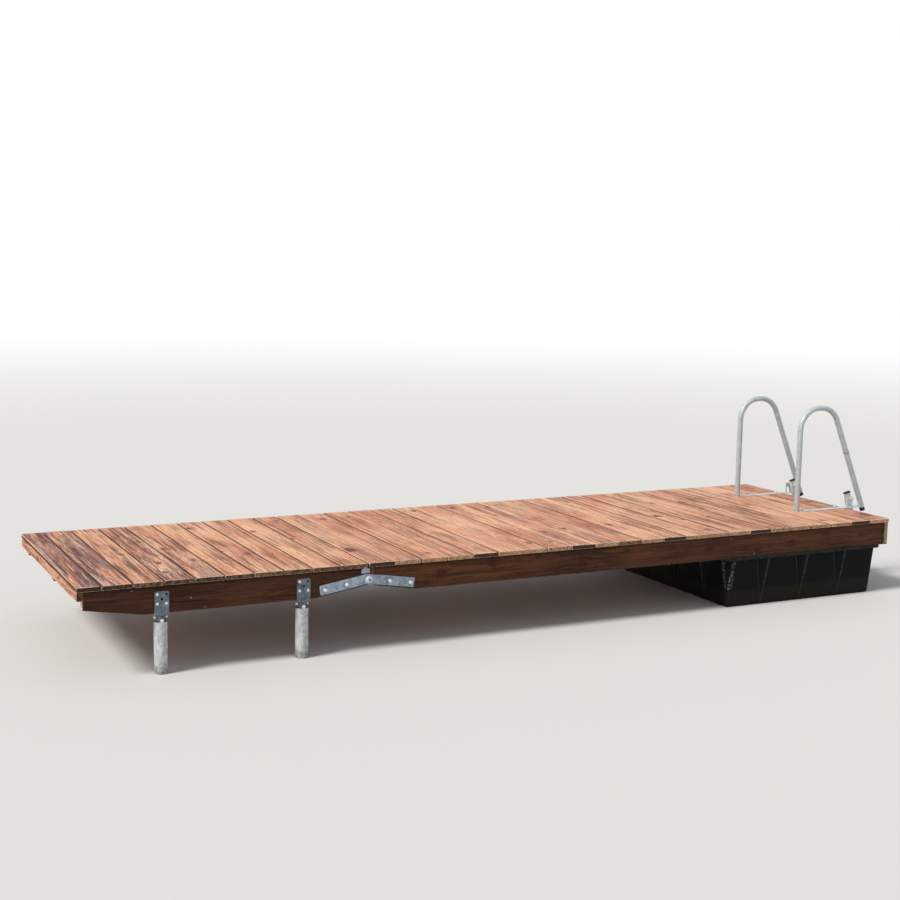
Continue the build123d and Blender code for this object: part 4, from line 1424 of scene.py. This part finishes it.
def wall_columns(low, high, half_width, grooves):
    """Places along one wall, a row for each level, and q for each column: 0 in a groove's middle, 1 at its
    edge. Between fixed borders, which follow the narrowing grooves, the columns are spread evenly."""
    centres = (np.arange(grooves) - (grooves - 1) / 2) * groove_pitch
    borders = [low]
    for centre in centres:
        borders += [centre - groove_reach * half_width, centre + groove_reach * half_width]
    borders.append(high)
    places = []
    shares = []
    for index, (first, last) in enumerate(zip(borders, borders[1:])):
        steps = groove_steps if index % 2 else plain_steps
        share = np.arange(steps) / steps
        places.append(first[:, None] + (last - first)[:, None] * share)
        shares.append(groove_reach * (2 * share - 1) if index % 2 else np.full(steps, 2 * groove_reach))
    return np.concatenate(places, axis=1), np.concatenate(shares)


def groove_shape(q):
    """How deep a groove is at q, from 0 to 1: a straight V, 1 minus the size of q, with its bottom and its
    edges rounded by putting the root of a square plus a small square for each size."""
    inside = 1.0 + groove_softness - np.sqrt(q ** 2 + groove_softness ** 2)
    return (inside + np.sqrt(inside ** 2 + groove_softness ** 2)) / 2


print("columns across one groove:", groove_steps)

# %% [markdown]
# ## The skin of the float
#
# Seen from its own side, each wall is the same shape, so one loop makes all four by turning the two
# directions that it is drawn in. A corner follows each wall. Most corners are a small arc. At the two
# with a facet, a straight line takes over where the cut is large, and goes back to the arc as the cut
# runs out.

# %% A skin from columns and levels
tub_corner = 0.008
facet_corners = (1, 2)
turn_steps = 6
grooves_across = 4
grooves_along = 3


def float_skin(middle, half_x, half_y, z, half_width, depth, cuts):
    """Points of the skin, q for each column, and 1 for each column at an edge of a facet. Each of the four
    walls has an outward and a forward direction. A point of a wall is outward times (half size minus
    groove) plus forward times its place, and a corner goes from one wall to the next on an arc that a
    large facet flattens."""
    columns = []
    column_q = []
    facet_edges = []
    for wall in range(4):
        outward = np.array([(1, 0), (0, 1), (-1, 0), (0, -1)][wall], float)
        forward = np.array([-outward[1], outward[0]])
        away, along = (half_x, half_y) if wall % 2 == 0 else (half_y, half_x)
        cut_before, cut = cuts[wall - 1], cuts[wall]
        grooves = grooves_across if wall % 2 == 0 else grooves_along
        places, q = wall_columns(-along + cut_before, along - cut, half_width, grooves)
        distance = away[:, None] - depth[:, None] * groove_shape(q) * (np.abs(q) <= groove_reach)
        columns.append(distance[..., None] * outward + places[..., None] * forward)
        share = (np.arange(turn_steps) / turn_steps)[None, :, None]
        corner = (away[:, None] * outward + along[:, None] * forward)[:, None, :]
        size = cut[:, None, None]
        line = corner - size * ((1 - share) * forward + share * outward)
        turn = share * np.pi / 2
        arc = corner + size * ((np.cos(turn) - 1) * outward + (np.sin(turn) - 1) * forward)
        flatness = 1.0
        if wall in facet_corners:
            flatness = np.clip(tub_corner / size, 0.0, 1.0)
        columns.append(line + (arc - line) * flatness)
        column_q.append(np.concatenate([q, np.full(turn_steps, 2 * groove_reach)]))
        facet_edge = np.zeros(len(column_q[-1]))
        facet_edge[0] = wall - 1 in facet_corners
        facet_edge[len(q)] = wall in facet_corners
        facet_edges.append(facet_edge)
    outline = np.concatenate(columns, axis=1)
    height = np.broadcast_to(z[:, None, None], outline.shape[:2] + (1,))
    skin = np.concatenate([outline, height], axis=-1) + middle
    return skin, np.concatenate(column_q), np.concatenate(facet_edges)


print("grooves in all:", 2 * (grooves_across + grooves_along))

# %% [markdown]
# ## The levels of the float
#
# From below, the levels are a rounded bottom edge, a wall that leans out by four degrees, and the lip
# with small round edges. Each level says how far the skin stands in from the float's box, how wide and
# deep the grooves are there, and how large the corners. Grooves and facets are full under the lip and
# taper to nothing down the wall.

# %% Levels up the wall
lip_reach = 0.027
lip_thickness = 0.017
lip_corner = 0.030
lip_edge = 0.003
bottom_edge = 0.012
wall_draft = math.radians(4.0)
wall_steps = 34
groove_half_width = 0.046
groove_length = 0.270
facet_size = 0.046
facet_length = 0.178
narrowest_groove = 0.12

low_corner, high_corner = np.array(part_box("plastic_float"))
middle = (low_corner + high_corner) / 2 * (1, 1, 0)
lip_half = (high_corner - low_corner) / 2
tub_top = high_corner[2] - lip_thickness
round_up = np.linspace(0.0, np.pi / 2, 6)
edge_up = np.linspace(0.0, np.pi / 2, 4)
wall_z = np.linspace(bottom_edge, tub_top, wall_steps)[1:]
tub_z = np.concatenate([bottom_edge * (1 - np.cos(round_up)), wall_z])
tub_inset = lip_reach + np.tan(wall_draft) * (tub_top - tub_z)
tub_inset[:len(round_up)] += bottom_edge * (1 - np.sin(round_up))
lip_z = np.concatenate([tub_top + lip_edge * (1 - np.cos(edge_up)),
                        high_corner[2] - lip_edge + lip_edge * np.sin(edge_up)])
lip_inset = lip_edge * np.concatenate([1 - np.sin(edge_up), 1 - np.cos(edge_up)])
z = np.concatenate([tub_z, lip_z])
inset = np.concatenate([tub_inset, lip_inset])
taper = np.clip(1 - (tub_top - z) / groove_length, 0.0, 1.0)
facet_taper = np.clip(1 - (tub_top - z) / facet_length, 0.0, 1.0)
is_tub = np.arange(len(z)) < len(tub_z)
plain_cut = np.where(is_tub, tub_corner, lip_corner - inset)
facet_cut = np.where(is_tub, np.maximum(facet_size * facet_taper, tub_corner), plain_cut)
half_width = groove_half_width * np.maximum(taper, narrowest_groove)
print("levels up the float:", len(z), "of which in the lip:", len(lip_z))

# %% [markdown]
# ## Mould the float, wear it and paint its light
#
# Because every groove's edge is a line of the grid, the same numbers say where the plastic is worn and
# where light is painted: along the edges of the grooves and on the lip, worn and with a painted
# highlight, in the grooves, whose paler floor is painted light, and in scrapes down both edges of the
# facets, which meet the bank first. They go into the mesh as the attribute that the plastic finish reads.

# %% Mould the float
groove_depth = 0.042
shallow = 0.02
float_sharp = 38.0
edge_wear_and_light_width = 0.10
lip_wear_and_light = 0.30

skin, column_q, facet_edge = float_skin(
    middle, lip_half[0] - inset, lip_half[1] - inset, z, half_width, groove_depth * taper * is_tub,
    [plain_cut, facet_cut, facet_cut, plain_cut])
skin_shape = (skin.reshape(-1, 3), *closed_rows(*skin.shape[:2]))
moulded_float = gather_plain("moulded_float", [skin_shape], float_black, float_sharp)
in_groove = (taper > shallow) & is_tub
# groove edges and lip: wear with a painted highlight; groove floor: painted light
worn_edge_and_highlight = np.exp(-((np.abs(column_q) - 1.0) / edge_wear_and_light_width) ** 2)[None, :] * in_groove[:, None]
worn_edge_and_highlight += lip_wear_and_light * (~is_tub)[:, None]
groove_painted_light = (np.abs(column_q) < 1.0)[None, :] * in_groove[:, None]
facet_wear = facet_edge[None, :] * ((facet_taper > shallow) & is_tub)[:, None]
wear_and_light = np.stack([worn_edge_and_highlight, groove_painted_light, facet_wear], axis=-1).astype(np.float32)
moulded_float.data.attributes.new("wear_and_light", "FLOAT_VECTOR", "POINT").data.foreach_set("vector", wear_and_light.ravel())
own(moulded_float, "float_section", "float_plastic", "plastic_float")
print("levels and columns of the float:", skin.shape[:2])

# %% [markdown]
# ## Ribbed steps
#
# A step for bare feet has ribs along its top. Its profile is a rounded rectangle, and the top line dips
# between the ribs by a soft wave. Carried across the ladder, it gives the step in one go.

# %% Mould the steps
rib_pitch = 0.0068
rib_depth = 0.0018
step_corner = 0.009
step_end_easing = 0.0012
points_a_rib = 8


def ribbed_step(low, high):
    """The profile's corners are quarter circles. Its top line dips by the rib depth times the square root
    of (one half minus one half of a cosine that makes one turn for each rib)."""
    half = (high[0] - low[0]) / 2 - step_corner
    arc = np.linspace(0.0, np.pi / 2, 7)
    corners = np.stack([np.cos(arc), np.sin(arc)], axis=-1) * step_corner
    ribs = int(half * 2 / rib_pitch)
    x = np.linspace(half, -half, ribs * points_a_rib + 1)[1:-1]
    dip = rib_depth * np.sqrt(0.5 - 0.5 * np.cos(2 * np.pi * (x + half) * ribs / (2 * half)))
    ring = [corners + (half, -step_corner), np.stack([x, -dip], axis=-1),
            corners[::-1] * (-1, 1) + (-half, -step_corner),
            corners * (-1, -1) + (-half, low[2] - high[2] + step_corner),
            corners[::-1] * (1, -1) + (half, low[2] - high[2] + step_corner)]
    ring = np.concatenate(ring)
    stations = np.array([low[1], low[1] + step_end_easing, high[1] - step_end_easing, high[1]])
    inset = np.array([step_end_easing, 0.0, 0.0, step_end_easing])
    size = np.array([half + step_corner, (high[2] - low[2]) / 2])
    centred = ring + (0.0, size[1])
    shrunk = centred[None] * (1 - inset[:, None, None] / size)
    points = np.stack([(low[0] + high[0]) / 2 - shrunk[..., 0],
                       np.broadcast_to(stations[:, None], shrunk.shape[:2]),
                       (low[2] + high[2]) / 2 + shrunk[..., 1]], axis=-1)
    return points.reshape(-1, 3), *closed_rows(*shrunk.shape[:2])


for place in ("lower", "upper"):
    step_low, step_high = np.array(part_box("ladder_tread_" + place))
    step = gather_plain("ribbed_step_" + place, [ribbed_step(step_low, step_high)], step_grey)
    own(step, "ladder_flight", "tread_plastic", "ladder_tread_" + place)
print("rib depth of a step:", rib_depth)

# %% [markdown]
# ## The floor
#
# A pale floor catches the shadow. Its paint fades with the distance into a plain white glow, which is the
# background's colour, so that no horizon shows.

# %% Lay the floor
background = (1.0, 1.0, 1.0, 1.0)
floor_tint = tint(222, 222, 220)
floor_roughness = 0.9
floor_reach = 60.0
floor_sides = 96
floor_fade = (7.0, 26.0)

turns = np.arange(floor_sides) * 2 * np.pi / floor_sides
rim = np.stack([np.cos(turns), np.sin(turns), turns * 0.0], axis=-1) * floor_reach
floor_mesh = bpy.data.meshes.new("floor")
floor_mesh.from_pydata(rim.tolist(), [], [list(range(floor_sides))])
floor = bpy.data.objects.new("floor", floor_mesh)
bpy.context.scene.collection.objects.link(floor)
w = Wiring("floor_paint")
away = w.distance(*w.split(w.place())[:2])
w.finish(floor_tint, floor_roughness, None)
glow = w.tree.nodes.new("ShaderNodeEmission")
glow.inputs["Color"].default_value = background
blend = w.tree.nodes.new("ShaderNodeMixShader")
w.feed(blend.inputs[0], w.ramp(away, *floor_fade))
w.tree.links.new(w.shader.outputs[0], blend.inputs[1])
w.tree.links.new(glow.outputs[0], blend.inputs[2])
w.tree.links.new(blend.outputs[0], w.tree.nodes["Material Output"].inputs["Surface"])
floor_mesh.materials.append(w.material)
print("the floor fades out from", floor_fade[0], "to", floor_fade[1], "m")

# %% [markdown]
# ## Light from all sides
#
# Two backgrounds make the world. A faint, slightly blue one fills the shadows, and a white one is what
# the camera and reflections see. The light path says what kind of ray asks, and the largest of its three
# answers chooses between the two.

# %% Light the world
fill_strength = 0.38
fill_tint = (0.93, 0.96, 1.0, 1.0)

world = bpy.data.worlds.new("studio")
bpy.context.scene.world = world
world.use_nodes = True
sky = world.node_tree
plain = sky.nodes["Background"]
plain.inputs["Color"].default_value = fill_tint
plain.inputs["Strength"].default_value = fill_strength
white = sky.nodes.new("ShaderNodeBackground")
white.inputs["Color"].default_value = background
ray = sky.nodes.new("ShaderNodeLightPath")
seen = ray.outputs["Is Camera Ray"]
for other in ("Is Glossy Ray", "Is Transmission Ray"):
    either = sky.nodes.new("ShaderNodeMath")
    either.operation = "MAXIMUM"
    sky.links.new(seen, either.inputs[0])
    sky.links.new(ray.outputs[other], either.inputs[1])
    seen = either.outputs[0]
choose = sky.nodes.new("ShaderNodeMixShader")
sky.links.new(seen, choose.inputs[0])
sky.links.new(plain.outputs[0], choose.inputs[1])
sky.links.new(white.outputs[0], choose.inputs[2])
sky.links.new(choose.outputs[0], sky.nodes["World Output"].inputs["Surface"])
print("strength of the fill light:", fill_strength)

# %% [markdown]
# ## The key lamp
#
# One large soft lamp shines from high beyond the bank end and a little from the near side. It lights the
# deck, only grazes the near faces, and gives the posts, hoops and bolts a bright bank side. The pale
# floor then lights the near faces from below.

# %% Hang the lamp
key_direction = np.array([0.76, 0.14, -0.86])
key_strength = 2.85
key_softness = math.radians(16.0)
key_tint = (1.0, 0.965, 0.91)
key_place = (0.0, 0.0, 5.0)

key_data = bpy.data.lights.new("key", "SUN")
key_data.energy = key_strength
key_data.angle = key_softness
key_data.color = key_tint
key = bpy.data.objects.new("key", key_data)
key.matrix_world = placed(facing(-key_direction / np.linalg.norm(key_direction)), key_place)
bpy.context.scene.collection.objects.link(key)
print("key lamp shines along", key_direction)
